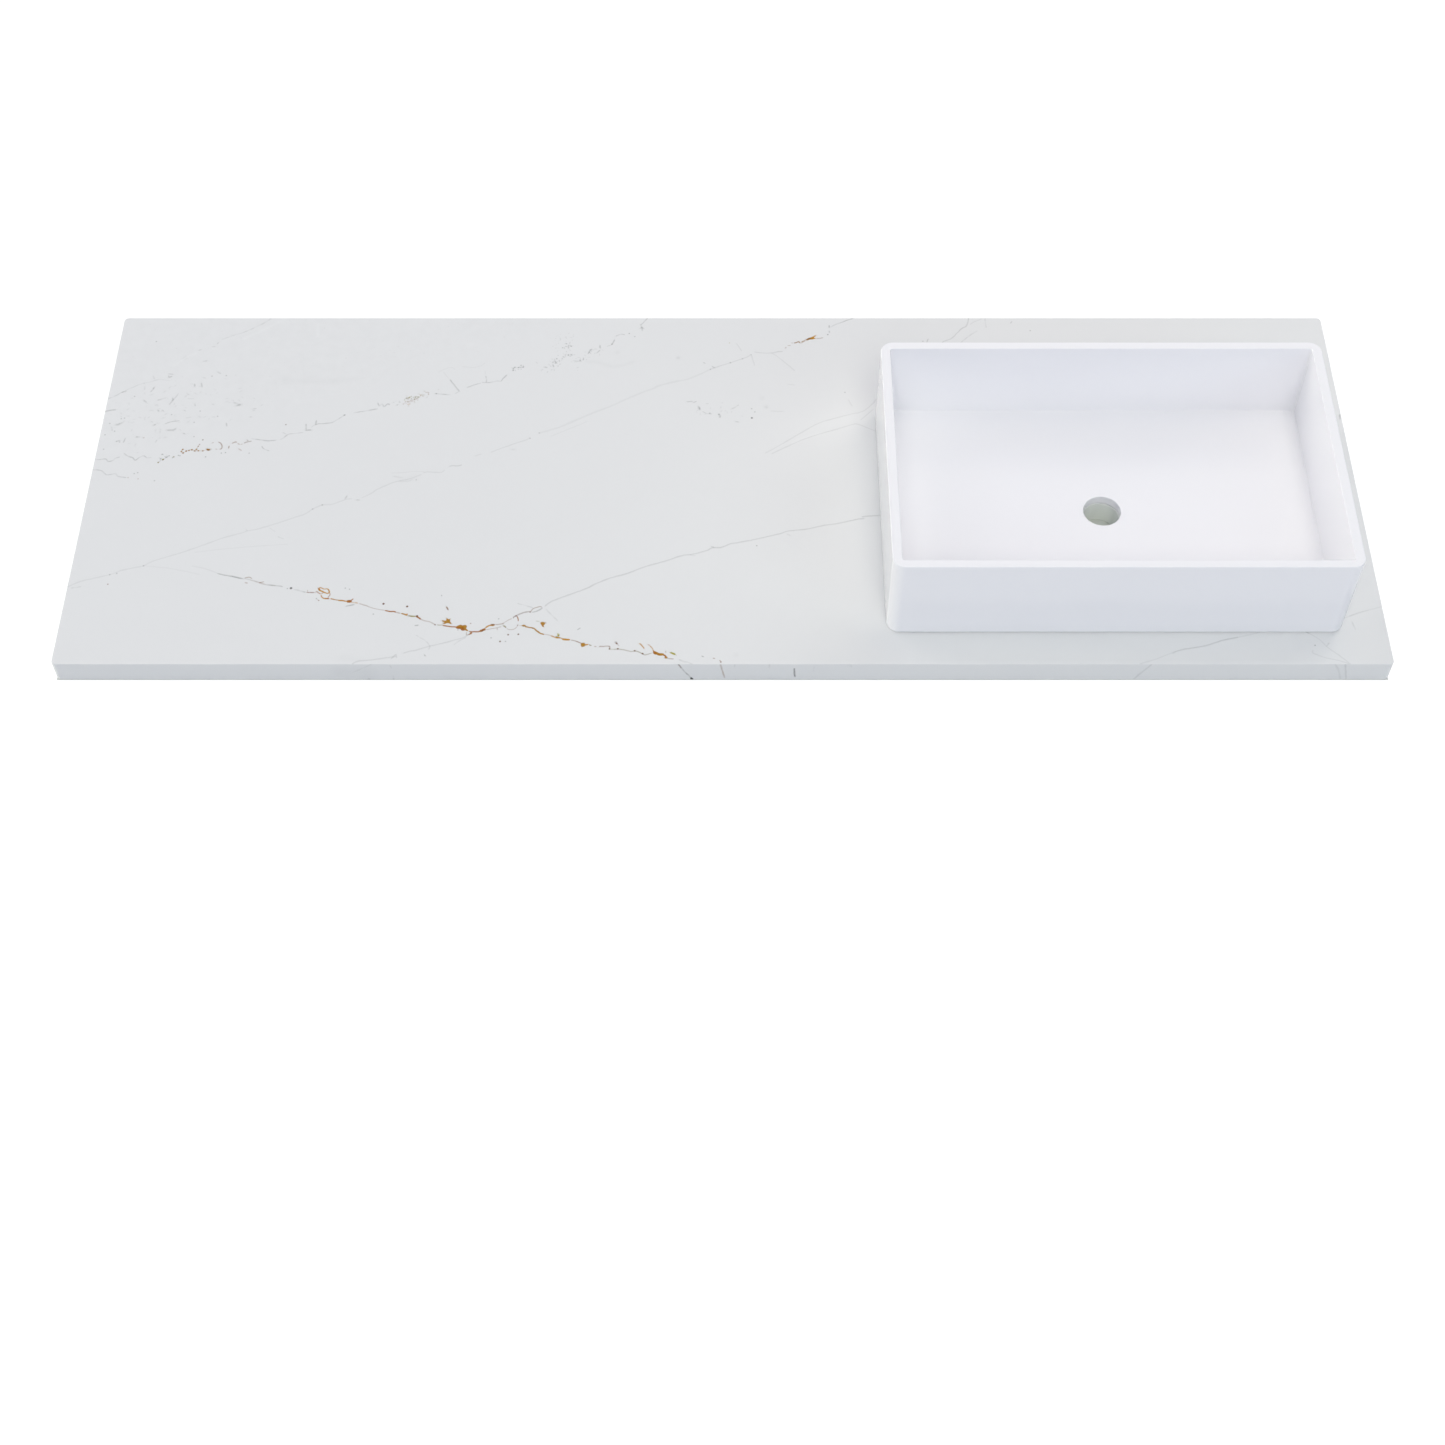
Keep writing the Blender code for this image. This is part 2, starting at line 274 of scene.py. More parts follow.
# Golden vein along the front left, where the long grey one crosses it
GOLDEN_VEIN = [
    *dashes(Hue.GREY, 2.8, 0.39,
        ((-600, -145), (-590, -148), (-580, -150), (-570, -153), (-562, -154), (-555, -156.5), (-548, -159),
        (-545, -161), (-535, -163), (-525, -164), (-519, -165.5)),
        ((-507, -169), (-500, -171), (-495.6, -172.4), (-491, -173.6)),
        ((-51, -272.2), (-45.6, -275), (-40, -276.7), (-33, -280))),
    *veins(Hue.GREY, 2.6, 0.3, ((-598, -145.8), (-590, -147.8), (-580, -150), (-568, -153))),
    *dashes(Hue.UMBER, 2.4, 0.38, ((-560, -155), (-549, -158.6), (-540, -162), (-528, -163.6))),
    # First brown stretch with its two loops
    *veins(Hue.UMBER, 2.4, 0.92, ((-491.5, -173.8), (-485.6, -174), (-480.6, -174))),
    *veins(Hue.UMBER, 2.2, 0.49, ((-490, -169.4), (-489.8, -173.6)), ((-480.6, -174), (-478.6, -172.2)),
        ((-477.8, -183.6), (-474.6, -186))),
    *veins(Hue.AMBER, 2.5, 1.32,
        ((-477.2, -167.8), (-475, -166.7), (-470.6, -168.6), (-466.7, -168.7), (-464.7, -170.6),
        (-463.7, -173.3), (-465.6, -175.3), (-468.3, -174.4), (-470.9, -173.1), (-473.3, -171.7),
        (-475.3, -170.6), (-477.2, -167.8)),
        ((-472.8, -176.9), (-473, -178.9), (-471.7, -181.1), (-469.4, -182.8), (-465, -183.1))),
    *veins(Hue.RUST, 2.5, 0.75, ((-478.9, -171.7), (-477.2, -173.9), (-475, -175.6), (-472.8, -176.9)),
        ((-470.9, -173.9), (-472.8, -176.1)),
        ((-464.8, -183), (-464.2, -180.6), (-462.6, -177.2), (-463.9, -173.9))),
    *veins(Hue.RUST, 2.7, 1.54, ((-477.6, -167.4), (-475.8, -170.4)), ((-469, -182.9), (-462.2, -183.2))),
    *dashes(Hue.AMBER, 2.8, 1.25,
        ((-462.2, -183.1), (-457.8, -184.2), (-452.2, -185.6), (-446.7, -186.2), (-442.8, -187.2),
        (-438, -187.3)), ((-437, -188), (-435.6, -188.7), (-430.6, -189.2), (-427.8, -190.6))),
    *veins(Hue.UMBER, 2.2, 0.59,
        ((-462.2, -183.1), (-457.8, -184.2), (-452.2, -185.6), (-446.7, -186.2), (-442.8, -187.2))),
    *veins(Hue.RUST, 5.0, 4.4, ((-441, -187.2), (-437, -187.4))),
    *veins(Hue.EARTH, 3.8, 1.6, ((-439.4, -186.9), (-437.2, -187.2))),
    *veins(Hue.RUST, 2.7, 1.4, ((-437.4, -187), (-436, -184.6), (-434.2, -182.9))),
    # Thin stretch, then the second one with its knots
    *veins(Hue.UMBER, 2.2, 0.6,
        ((-428, -190.5), (-422.2, -192.2), (-417.8, -193.9), (-413.3, -196.3), (-407.8, -198),
        (-403.3, -199.2), (-398.9, -200), (-395.6, -200.8))),
    *veins(Hue.RUST, 2.7, 1.47, ((-396.4, -200.6), (-390.6, -202.2), (-385.6, -202.4), (-382.2, -203.7))),
    *veins(Hue.UMBER, 2.4, 0.81, ((-383, -203.5), (-376.7, -205))),
    *veins(Hue.GOLD, 2.9, 1.62, ((-377, -205), (-372.8, -206.4), (-370, -207.4))),
    *veins(Hue.AMBER, 3.1, 1.06, ((-371.4, -207.2), (-369, -207.6)), ((-370, -207.6), (-369.2, -205.2))),
    *veins(Hue.DRAB, 2.6, 0.8, ((-369, -208.2), (-367.8, -208.7), (-363.3, -209.4), (-357.8, -209.4))),
    *veins(Hue.OLIVE, 2.8, 0.69, ((-367, -209), (-359, -209.6))),
    *dots(Hue.EARTH, 3.5, 2.56, (-357.6, -209.2)),
    *veins(Hue.RUST, 2.9, 1.61, ((-358.6, -209.6), (-355.6, -211.3), (-352.2, -214.2))),
    *veins(Hue.UMBER, 2.3, 0.54,
        ((-353, -213.6), (-348.9, -215.8), (-344.4, -216.9), (-340, -218.7), (-335.3, -222))),
    *dots(Hue.EARTH, 3.1, 1.08, (-335.5, -222)),
    *veins(Hue.DRAB, 2.4, 0.66, ((-334, -221.8), (-330, -222.4), (-325.6, -222.6))),
    *veins(Hue.RUST, 2.7, 1.33, ((-327, -222.6), (-320.6, -224.2), (-314, -225), (-309, -225.8))),
    # Star above the line and the large cluster on it
    *veins(Hue.GOLD, 3.2, 1.82, ((-320.6, -216.7), (-322.8, -212.4)), ((-320.6, -216.7), (-318.7, -213.6))),
    *veins(Hue.GOLD, 3.6, 2.07, ((-328.3, -215.8), (-324.5, -217), (-320.6, -217.2)),
        ((-320.6, -216.9), (-316.4, -220.8)), ((-326.1, -220.2), (-320, -217.4))),
    *dots(Hue.GOLD, 6.1, 3.7, (-320.8, -216.9)),
    *veins(Hue.GOLD, 3.3, 2.47,
        ((-310, -225.6), (-307.8, -224.2), (-305.6, -223.3), (-303.3, -224.2), (-300, -223.6),
        (-299.4, -226.7)), ((-300, -223.6), (-301.1, -226), (-298.9, -229.4), (-296.1, -231.1)),
        ((-308, -226), (-303, -225.6), (-299.6, -228.4)), ((-306, -222.6), (-303, -226))),
    *veins(Hue.RUST, 5.0, 3.9, ((-310.2, -225.8), (-306, -226.2), (-301.7, -226.1)),
        ((-304.4, -226.2), (-301.1, -229.4))),
    *veins(Hue.EARTH, 3.8, 2.67, ((-308.6, -225.8), (-304.6, -226.2)),
        ((-303.4, -226.4), (-301.6, -228.6))),
    *veins(Hue.RUST, 2.5, 1.19,
        ((-296.1, -231.1), (-292.2, -232.2), (-287.8, -232.2), (-284.4, -232), (-281.7, -231.1))),
    *veins(Hue.RUST, 3.1, 1.68, ((-292.4, -233.4), (-292.9, -235.2))),
    *veins(Hue.RUST, 2.5, 1.12, ((-292.8, -235), (-295.4, -236.8))),
    *veins(Hue.UMBER, 2.2, 0.59, ((-297.6, -232), (-298, -237), (-294, -236))),
    # It forks into two arcs that meet again
    *veins(Hue.EARTH, 3.1, 2.33, ((-282, -231.5), (-279.6, -230.2), (-277.6, -228))),
    *veins(Hue.RUST, 3.3, 2.1, ((-283, -231.6), (-279.6, -230), (-276.7, -227.2))),
    *dots(Hue.GOLD, 3.6, 1.69, (-277.2, -229.2), (-281.6, -231)),
    *veins(Hue.AMBER, 2.8, 1.56, ((-276.7, -227.2), (-275, -225), (-271.1, -222.8), (-267.8, -222))),
    *veins(Hue.EARTH, 3.2, 2.1, ((-270.6, -222.4), (-266, -221.9))),
    *veins(Hue.GOLD, 3.3, 1.9, ((-270.6, -222.3), (-265.6, -222.3))),
    *veins(Hue.UMBER, 2.3, 0.76, ((-266, -222), (-263.3, -221.7), (-258.3, -220.9), (-254.4, -220.2))),
    *veins(Hue.UMBER, 2.2, 0.54, ((-276.1, -229.4), (-268.9, -227.8), (-262.2, -226.1), (-257.4, -224.4)),
        ((-262.6, -226.2), (-262.2, -230))),
    *veins(Hue.DRAB, 2.6, 1.1, ((-256.8, -222.9), (-253.9, -224.4), (-252.2, -227.2))),
    *veins(Hue.UMBER, 2.2, 0.49,
        ((-252.2, -227.2), (-248.9, -228.9), (-244.4, -228.9), (-241.1, -226.7), (-239.4, -223.9)),
        ((-257.6, -220.8), (-251.1, -215.6), (-245.6, -212.4))),
    *veins(Hue.UMBER, 2.4, 1.08, ((-239.4, -224), (-239, -221.8))),
    *veins(Hue.EARTH, 2.9, 0.9, ((-244.8, -213.1), (-244.2, -210.6), (-241.7, -208.9), (-240, -209.8))),
    *veins(Hue.RUST, 2.5, 1.12, ((-240.4, -209.2), (-239.1, -213), (-238.7, -217.4))),
    *veins(Hue.EARTH, 2.5, 0.67, ((-243, -209.2), (-236.7, -205.8), (-230, -203.1), (-225, -202.4))),
    *dots(Hue.EARTH, 3.3, 0.93, (-225.4, -203.2)),
    *veins(Hue.UMBER, 2.2, 0.76,
        ((-224.9, -203.4), (-223.9, -200.6), (-221.7, -197.8), (-217.8, -196.1), (-213.9, -195),
        (-211.7, -196.7))),
    *veins(Hue.GREY, 2.4, 0.62, ((-223.9, -203.9), (-220, -202.8), (-215.6, -200.6), (-210.8, -196.6))),
    # Third golden stretch
    *veins(Hue.UMBER, 2.0, 0.43, ((-238, -223), (-234, -223.2)),
        ((-211, -235), (-204, -236.6), (-199, -238))),
    *veins(Hue.GOLD, 2.5, 1.48,
        ((-234.8, -223.4), (-231.1, -223.1), (-228.9, -225), (-222.2, -226.4), (-218.9, -228.3),
        (-216.1, -231.1), (-212.2, -234.4), (-207.2, -236.7))),
    *veins(Hue.EARTH, 2.5, 0.6, ((-232.6, -222.8), (-230.2, -224)), ((-223, -226.2), (-220, -227.6))),
    *dots(Hue.DRAB, 3.0, 0.9, (-232.3, -224)),
    *veins(Hue.RUST, 2.2, 0.55, ((-216, -231), (-213.4, -233.6))),
    *veins(Hue.GOLD, 3.1, 2.02, ((-213, -219.2), (-207.6, -219.2)),
        ((-211, -219.4), (-210.8, -221.7), (-208.5, -225.5)), ((-207.8, -219.4), (-209.4, -222.4))),
    *veins(Hue.RUST, 2.6, 1.69, ((-212.2, -219.6), (-210.2, -221.6), (-209.2, -224))),
    *veins(Hue.DRAB, 2.4, 0.45, ((-218.9, -216.1), (-213.3, -217.4))),
    *veins(Hue.AMBER, 2.8, 1.02,
        ((-200, -237.8), (-196.7, -239.4), (-193.3, -240.9), (-188.9, -241.3), (-185.6, -242.4))),
    *veins(Hue.AMBER, 2.6, 1.32, ((-187, -242), (-183.6, -244), (-176.7, -244.4)),
        ((-186, -242.4), (-182.2, -243), (-176.7, -243.6))),
    *veins(Hue.GOLD, 3.1, 0.89, ((-194.5, -240.4), (-188.6, -241))),
    *veins(Hue.DRAB, 2.8, 0.83, ((-195, -238.6), (-191.4, -239.6), (-190.4, -237.4))),
    *veins(Hue.OLIVE, 2.8, 0.94, ((-192.2, -233.6), (-191.6, -239)), ((-190, -235.4), (-190.8, -238.6))),
    *veins(Hue.UMBER, 2.2, 0.86, ((-177, -244.3), (-171.1, -245.6), (-166.7, -247.8), (-162.4, -250))),
    *veins(Hue.GOLD, 5.3, 3.3, ((-162.8, -251.1), (-160.8, -251.2)), ((-161.8, -250), (-161.8, -252.6))),
    *veins(Hue.AMBER, 3.0, 1.88, ((-160.4, -251.6), (-158, -251.2), (-155.4, -250.5))),
    *veins(Hue.DRAB, 2.4, 0.95, ((-155.6, -250.6), (-153.6, -251.8), (-151.2, -252.4))),
    *veins(Hue.UMBER, 2.4, 0.67, ((-149.4, -253.6), (-145.4, -254))),
    *veins(Hue.UMBER, 2.4, 0.86,
        ((-143.6, -254.7), (-142.2, -253.9), (-137.8, -253.6), (-133.3, -253.1), (-130.9, -253.9),
        (-130.6, -256.7))),
    *veins(Hue.DRAB, 2.2, 0.45,
        ((-132.6, -258), (-126.7, -257.8), (-121.1, -257.2), (-115.6, -258.3), (-111.1, -259.8),
        (-105.6, -260.8), (-101.1, -260), (-97.8, -261.1), (-94.4, -263.1), (-92.2, -264.2), (-90, -265.8),
        (-86.7, -265), (-82.2, -263.3), (-79, -262.2))),
    *veins(Hue.EARTH, 2.3, 0.25,
        ((-126.7, -257.8), (-115.6, -258.3), (-105.6, -260.8), (-97.8, -261.1), (-90, -265.8),
        (-82.2, -263.3))),
    *dots(Hue.EARTH, 3.1, 1.22, (-130.8, -256.9), (-121.3, -256.9), (-101.7, -259.8), (-92.4, -264)),
    *veins(Hue.RUST, 2.3, 0.7, ((-87.2, -250.4), (-84.2, -252.4))),
    *veins(Hue.AMBER, 2.6, 0.9,
        ((-84.6, -252), (-82.2, -255), (-80.6, -258.3), (-79.4, -261.1), (-77.8, -262.8))),
    *veins(Hue.RUST, 3.1, 1.35, ((-80.2, -259.6), (-79.2, -261.4), (-76.1, -263.6), (-73.3, -265))),
    *veins(Hue.GOLD, 4.4, 3.1, ((-78.9, -262.2), (-76.1, -263.6), (-73.3, -265), (-68.3, -265.2))),
    *veins(Hue.RUST, 4.2, 3.4, ((-79, -262.6), (-76.4, -263.8)), ((-75, -264.8), (-71.6, -265.4))),
    *veins(Hue.RUST, 2.9, 1.82, ((-69, -265.2), (-66.4, -267), (-65.2, -269.6))),
    *dots(Hue.GOLD, 4.0, 2.6, (-65.2, -269.6)),
    *veins(Hue.UMBER, 2.2, 0.67, ((-68.6, -270.6), (-65, -270), (-61.1, -271.1), (-55.6, -271.7))),
    *veins(Hue.AMBER, 2.6, 1.0, ((-97.4, -249.2), (-95, -250.6), (-92.2, -254.4), (-90.4, -257.6))),
    *veins(Hue.OLIVE, 3.9, 1.75, ((-60.6, -262.4), (-58.3, -263.3), (-54.2, -265.8))),
    *veins(Hue.DRAB, 2.6, 0.56, ((-62, -261.6), (-59.6, -262.8)), ((-65.8, -260), (-65.6, -263))),
    # Specks and short strokes beside it
    *veins(Hue.UMBER, 2.2, 0.81, ((-567, -152.5), (-561, -151), (-557, -153.5)),
        ((-566, -159), (-561, -160)), ((-549, -159.5), (-542, -157.5)), ((-12, -270.5), (-8, -271.5)),
        ((-4, -273), (-1, -277))),
    *veins(Hue.UMBER, 2.4, 1.13, ((-324.6, -194.6), (-321.2, -201))),
    *veins(Hue.EARTH, 2.9, 1.49, ((-124, -247.6), (-121.8, -250.4))),
    *veins(Hue.UMBER, 2.0, 0.43, ((-121.8, -250.4), (-119.4, -253.6))),
    *dots(Hue.COAL, 4.2, 1.6, (-509.7, -167.5)),
    *dots(Hue.EARTH, 3.5, 2.16, (-370.3, -194.9), (-398.4, -190.9)),
    *dots(Hue.EARTH, 3.3, 1.35, (-258.3, -246.4), (-249.4, -236.5), (-237.6, -235.9)),
    *dots(Hue.UMBER, 2.8, 0.81, (-727, -161.5), (-475, -186), (-2, -276.5), (-294.2, -220)),
    *dots(Hue.GREY, 2.8, 0.62, (-514, -168), (-252, -246.3), (-269, -241.1), (-261.8, -213.2),
        (-445.6, -167.4), (-440.4, -169), (-409, -206.2), (-478, -183), (-308.4, -229.4), (41, -102.5)),
    *veins(Hue.GREY, 2.4, 0.6, ((-360, -223.3), (-354, -222.2)), ((-331, -177), (-331, -180)),
        ((-170, -230), (-165, -226)), ((-25, -267), (-21, -269)), ((-343, -268), (-345, -265))),
    *veins(Hue.GREY, 2.2, 0.4, ((-443.3, -195), (-437.8, -193.3), (-432.2, -192))),
]

# Beaded vein from the left edge up to the back, grey with a golden stretch
BEADED_VEIN = [
    # Rust beads and the golden one
    *dots(Hue.BRONZE, 3.6, 1.42, (-667.9, 51.6), (-666.7, 45.8), (-663.3, 48.9), (-656.7, 51.1),
        (-651.1, 51.6)),
    *dots(Hue.BRONZE, 3.4, 1.1, (-669.2, 48.3), (-660, 50), (-652.8, 49.2), (-648.3, 49.5), (-642.8, 49.3)),
    *dots(Hue.UMBER, 3.0, 0.8, (-649.5, 56.7), (-648.3, 60)),
    *veins(Hue.BRONZE, 2.2, 0.32,
        ((-667.9, 51.6), (-669.2, 48.3), (-666.7, 45.8), (-663.3, 48.9), (-660, 50), (-656.7, 51.1),
        (-652.8, 49.2), (-648.3, 49.5), (-642.8, 49.3), (-639, 50.6)),
        ((-651.4, 51), (-649.4, 56.7), (-648, 60.4))),
    *veins(Hue.BRONZE, 4.2, 1.9, ((-638.8, 52.2), (-636.7, 51.2), (-634.2, 51.9))),
    *veins(Hue.BRONZE, 3.3, 2.0, ((-637.6, 51), (-634.6, 51))),
    # Drab crumbs before it and small arcs after it
    *dots(Hue.DRAB, 3.4, 1.05, (-695.2, 30.1), (-677.4, 39.4)),
    *dots(Hue.DRAB, 3.8, 1.35, (-690, 35)),
    *dots(Hue.GREY, 2.8, 0.7, (-693.2, 36.3), (-691.8, 43.4), (-686.7, 38.3), (-683.3, 41.2), (-678.6, 38),
        (-670, 41.2), (-672, 41.8), (-645.3, 67.6), (-614.4, 46.4), (-619.4, 45.6), (-638.1, 39.4)),
    *veins(Hue.GREY, 2.2, 0.26, ((-696.6, 29.4), (-693.4, 32), (-692.8, 36.4)),
        ((-690, 35), (-686.4, 38.6), (-683.3, 41.2))),
    *veins(Hue.UMBER, 2.4, 0.5, ((-633.9, 61.7), (-630.6, 63.9)), ((-624.4, 51.7), (-628.3, 52.2)),
        ((-597.8, 59.4), (-594.4, 61.1)), ((-599.6, 53.4), (-594.2, 48.8)), ((-602, 62.4), (-597.8, 59.4))),
    *veins(Hue.UMBER, 2.6, 0.85,
        ((-626.1, 64.4), (-623.3, 62.8), (-621.1, 60), (-619.8, 55.6), (-620.6, 52.8), (-623, 51.9)),
        ((-611.4, 58.5), (-611.4, 52.6)), ((-608.9, 61.1), (-604.4, 64), (-602.2, 62.8))),
    *veins(Hue.EARTH, 2.6, 0.58, ((-593.6, 61.5), (-591.7, 63.3), (-588.3, 64.5), (-583.6, 65.6)),
        ((-590.8, 68), (-588.3, 65))),
    *dashes(Hue.GREY, 2.6, 0.36,
        ((-586, 70), (-580, 68.6), (-574, 67.6), (-568, 66.4), (-563, 66), (-553, 67.2)),
        ((-550, 67.6), (-545.4, 70.8), (-542.6, 74.5), (-539.6, 76.9), (-533.8, 78), (-521, 80)),
        ((-548, 80), (-542, 76.5)), ((-520, 95), (-519.4, 89), (-518.6, 84)), ((-507.6, 101), (-507.8, 92)),
        ((-513, 88), (-510, 91.5), (-504.7, 94.3), (-496, 95), (-487.3, 97), (-479.2, 103.6), (-473, 109)),
        ((-463, 112.4), (-458, 114), (-448, 116), (-440, 118), (-431.5, 120)),
        ((-360, 145.5), (-352, 144.6), (-343, 143.8)), ((-338, 145.5), (-332, 149.6)),
        ((-324, 156), (-316, 159.8), (-305, 164.6)),
        ((-305, 165.4), (-300, 165), (-294, 165), (-287, 167.3), (-280, 167)),
        ((-300.8, 177), (-299, 169), (-300, 164)), ((-238.5, 201.5), (-235.6, 197.5)),
        ((-229, 192.4), (-222, 190.6)), ((-178, 203), (-177.4, 209)),
        ((-172.5, 214), (-170.5, 219.5), (-167, 224.5)), ((-190, 203), (-180, 201.5)),
        ((-162, 215.5), (-156, 222.5)), ((-149, 228), (-143, 230.5)),
        ((-138, 246), (-131.5, 250), (-125, 249)),
        ((-777, 36), (-768, 35), (-761, 36), (-757, 32), (-752, 33), (-749, 37), (-743, 39.5)),
        ((-740, 46), (-735, 41), (-728, 38), (-724, 34), (-720, 38), (-715, 41), (-710, 38), (-704, 38.5)),
        ((-783, 18), (-765, 17.5), (-759, 13), (-755, 10), (-745, 11.5), (-741, 7.5), (-730, 5.5)),
        ((-571, 58), (-568, 53), (-560, 49))),
    *veins(Hue.GREY, 2.8, 0.5, ((-520.5, 83.8), (-511.5, 83.8))),
    *veins(Hue.GREY, 2.6, 0.42, ((-281, 166.5), (-277.6, 173), (-273.5, 179)),
        ((-143.4, 230.4), (-141, 234), (-138.6, 241)), ((-157.4, 231.5), (-156.6, 224)),
        ((-346, 170.5), (-341, 163), (-334.8, 153.5), (-332, 149)), ((-475.5, 109), (-471.5, 109.4))),
    *dashes(Hue.GREY, 2.8, 0.36, ((-108, 259.8), (-104, 261.8), (-100, 258.5)),
        ((-107, 268.5), (-104, 262), (-103.5, 255)),
        ((-106, 266), (-101.4, 272.5), (-97.5, 279), (-94, 286)),
        ((-434, 131), (-431, 124.5), (-428, 128), (-425, 123.5), (-421, 128), (-418, 126)),
        ((-364, 145.8), (-357.5, 145.4)), ((-267, 184.5), (-265, 191), (-259.8, 191), (-252.5, 191.8))),
    *dots(Hue.GREY, 3.0, 0.6, (-473.2, 109.2), (-361, 145.7), (-266, 186), (-264.4, 191.5), (-259.8, 190.9),
        (-253.8, 191.6), (-256.7, 195), (-120.2, 251.4), (-141.8, 232.4), (-200.2, 233), (-194, 228.5),
        (-197.5, 227), (-205, 226), (-182, 204)),
    # Crumbly patches along it
    *crumbs(Hue.GREY, 2.2, 0.27, 58, (-212, 201.5), (22, 7), 50, 3),
    *crumbs(Hue.GREY, 2.0, 0.4, 10, (-198, 213), (9, 2), 8, 4),
    *crumbs(Hue.GREY, 2.0, 0.32, 12, (-198, 229), (9, 4), 15, 5),
    *crumbs(Hue.GREY, 2.0, 0.3, 12, (-260, 190), (10, 4), 25, 6),
    *crumbs(Hue.GREY, 2.0, 0.22, 34, (-172, 213), (28, 10), 40, 7),
    *crumbs(Hue.GREY, 2.0, 0.16, 26, (-204, 238), (22, 14), 40, 14),
    *crumbs(Hue.GREY, 2.0, 0.32, 10, (-690, 37.5), (9, 5), 40, 8),
    *crumbs(Hue.UMBER, 2.4, 0.3, 24, (-392, 133.5), (15, 6), 20, 9),
    *crumbs(Hue.DRAB, 2.4, 0.33, 26, (-381, 141), (19, 6.5), 30, 10),
    *crumbs(Hue.GREY, 2.2, 0.26, 14, (-405, 132), (20, 6), 20, 12),
    *crumbs(Hue.DRAB, 2.6, 0.44, 7, (-395.5, 137), (6, 3.5), 60, 13),
    *dots(Hue.OLIVE, 3.0, 0.62, (-394.3, 139.7)),
    *dots(Hue.OLIVE, 2.6, 0.5, (-400, 134.5)),
    *veins(Hue.GOLD, 2.4, 0.62, ((-381.6, 140.5), (-380, 145)), ((-397, 127.2), (-391.6, 128))),
    *dashes(Hue.UMBER, 2.6, 0.62, ((-376, 147.5), (-372, 148), (-369.6, 147)),
        ((-371.6, 147), (-370.6, 143))),
    *veins(Hue.GREY, 2.6, 0.08, ((-362, 182), (-354, 188), (-345, 191), (-340, 187)),
        ((-332, 193), (-318, 191), (-308, 194), (-302, 200)), ((-301, 178), (-302, 186)),
        ((-347, 171), (-355, 184))),
    *veins(Hue.GREY, 9.0, 0.04, ((-175, 202), (-158.6, 200), (-138, 192.8), (-113, 201))),
]

# Rust streak near the back edge, right of the middle, and what runs on from it
RUST_STREAK = [
    *veins(Hue.UMBER, 2.6, 1.08, ((91, 234.4), (94, 234.8))),
    *veins(Hue.BRONZE, 3.0, 0.98, ((92.2, 234.2), (95, 235.4), (97.8, 236.7), (100, 234)),
        ((101, 235), (104.4, 237.6), (107, 239.4))),
    *veins(Hue.BRONZE, 3.9, 2.39, ((107, 239.8), (109.4, 240.4), (112.2, 242.2), (116.7, 242.6))),
    *veins(Hue.EARTH, 3.0, 1.2, ((108.6, 240.8), (112.6, 242.8), (115, 243))),
    *veins(Hue.AMBER, 4.5, 2.56, ((113.4, 242.6), (116.4, 243.2)), ((114.6, 242.8), (117, 245))),
    *veins(Hue.AMBER, 3.0, 1.38, ((116.7, 245), (120.6, 248)), ((116.6, 242.6), (120, 242.5))),
    *veins(Hue.UMBER, 2.4, 0.54, ((120, 242.4), (125.6, 242.8), (130, 244.2)), ((82.8, 230), (88.3, 230.2)),
        ((87.8, 234.4), (91, 234.4)), ((80.6, 225), (82, 227))),
    *dashes(Hue.GREY, 2.6, 0.42,
        ((138.9, 262.2), (145.6, 267.2), (154.4, 271.7), (167.8, 278.3), (180, 285))),
    *veins(Hue.GREY, 2.8, 0.55, ((137.6, 267), (137.8, 261)), ((137.6, 252.6), (137.6, 256))),
    *dots(Hue.GREY, 3.0, 0.85, (135.6, 249.4)),
    *veins(Hue.GREY, 2.6, 0.12, ((70, 219.4), (77.6, 219.9))),
    *dots(Hue.OLIVE, 2.8, 0.44, (9, 234.5)),
]

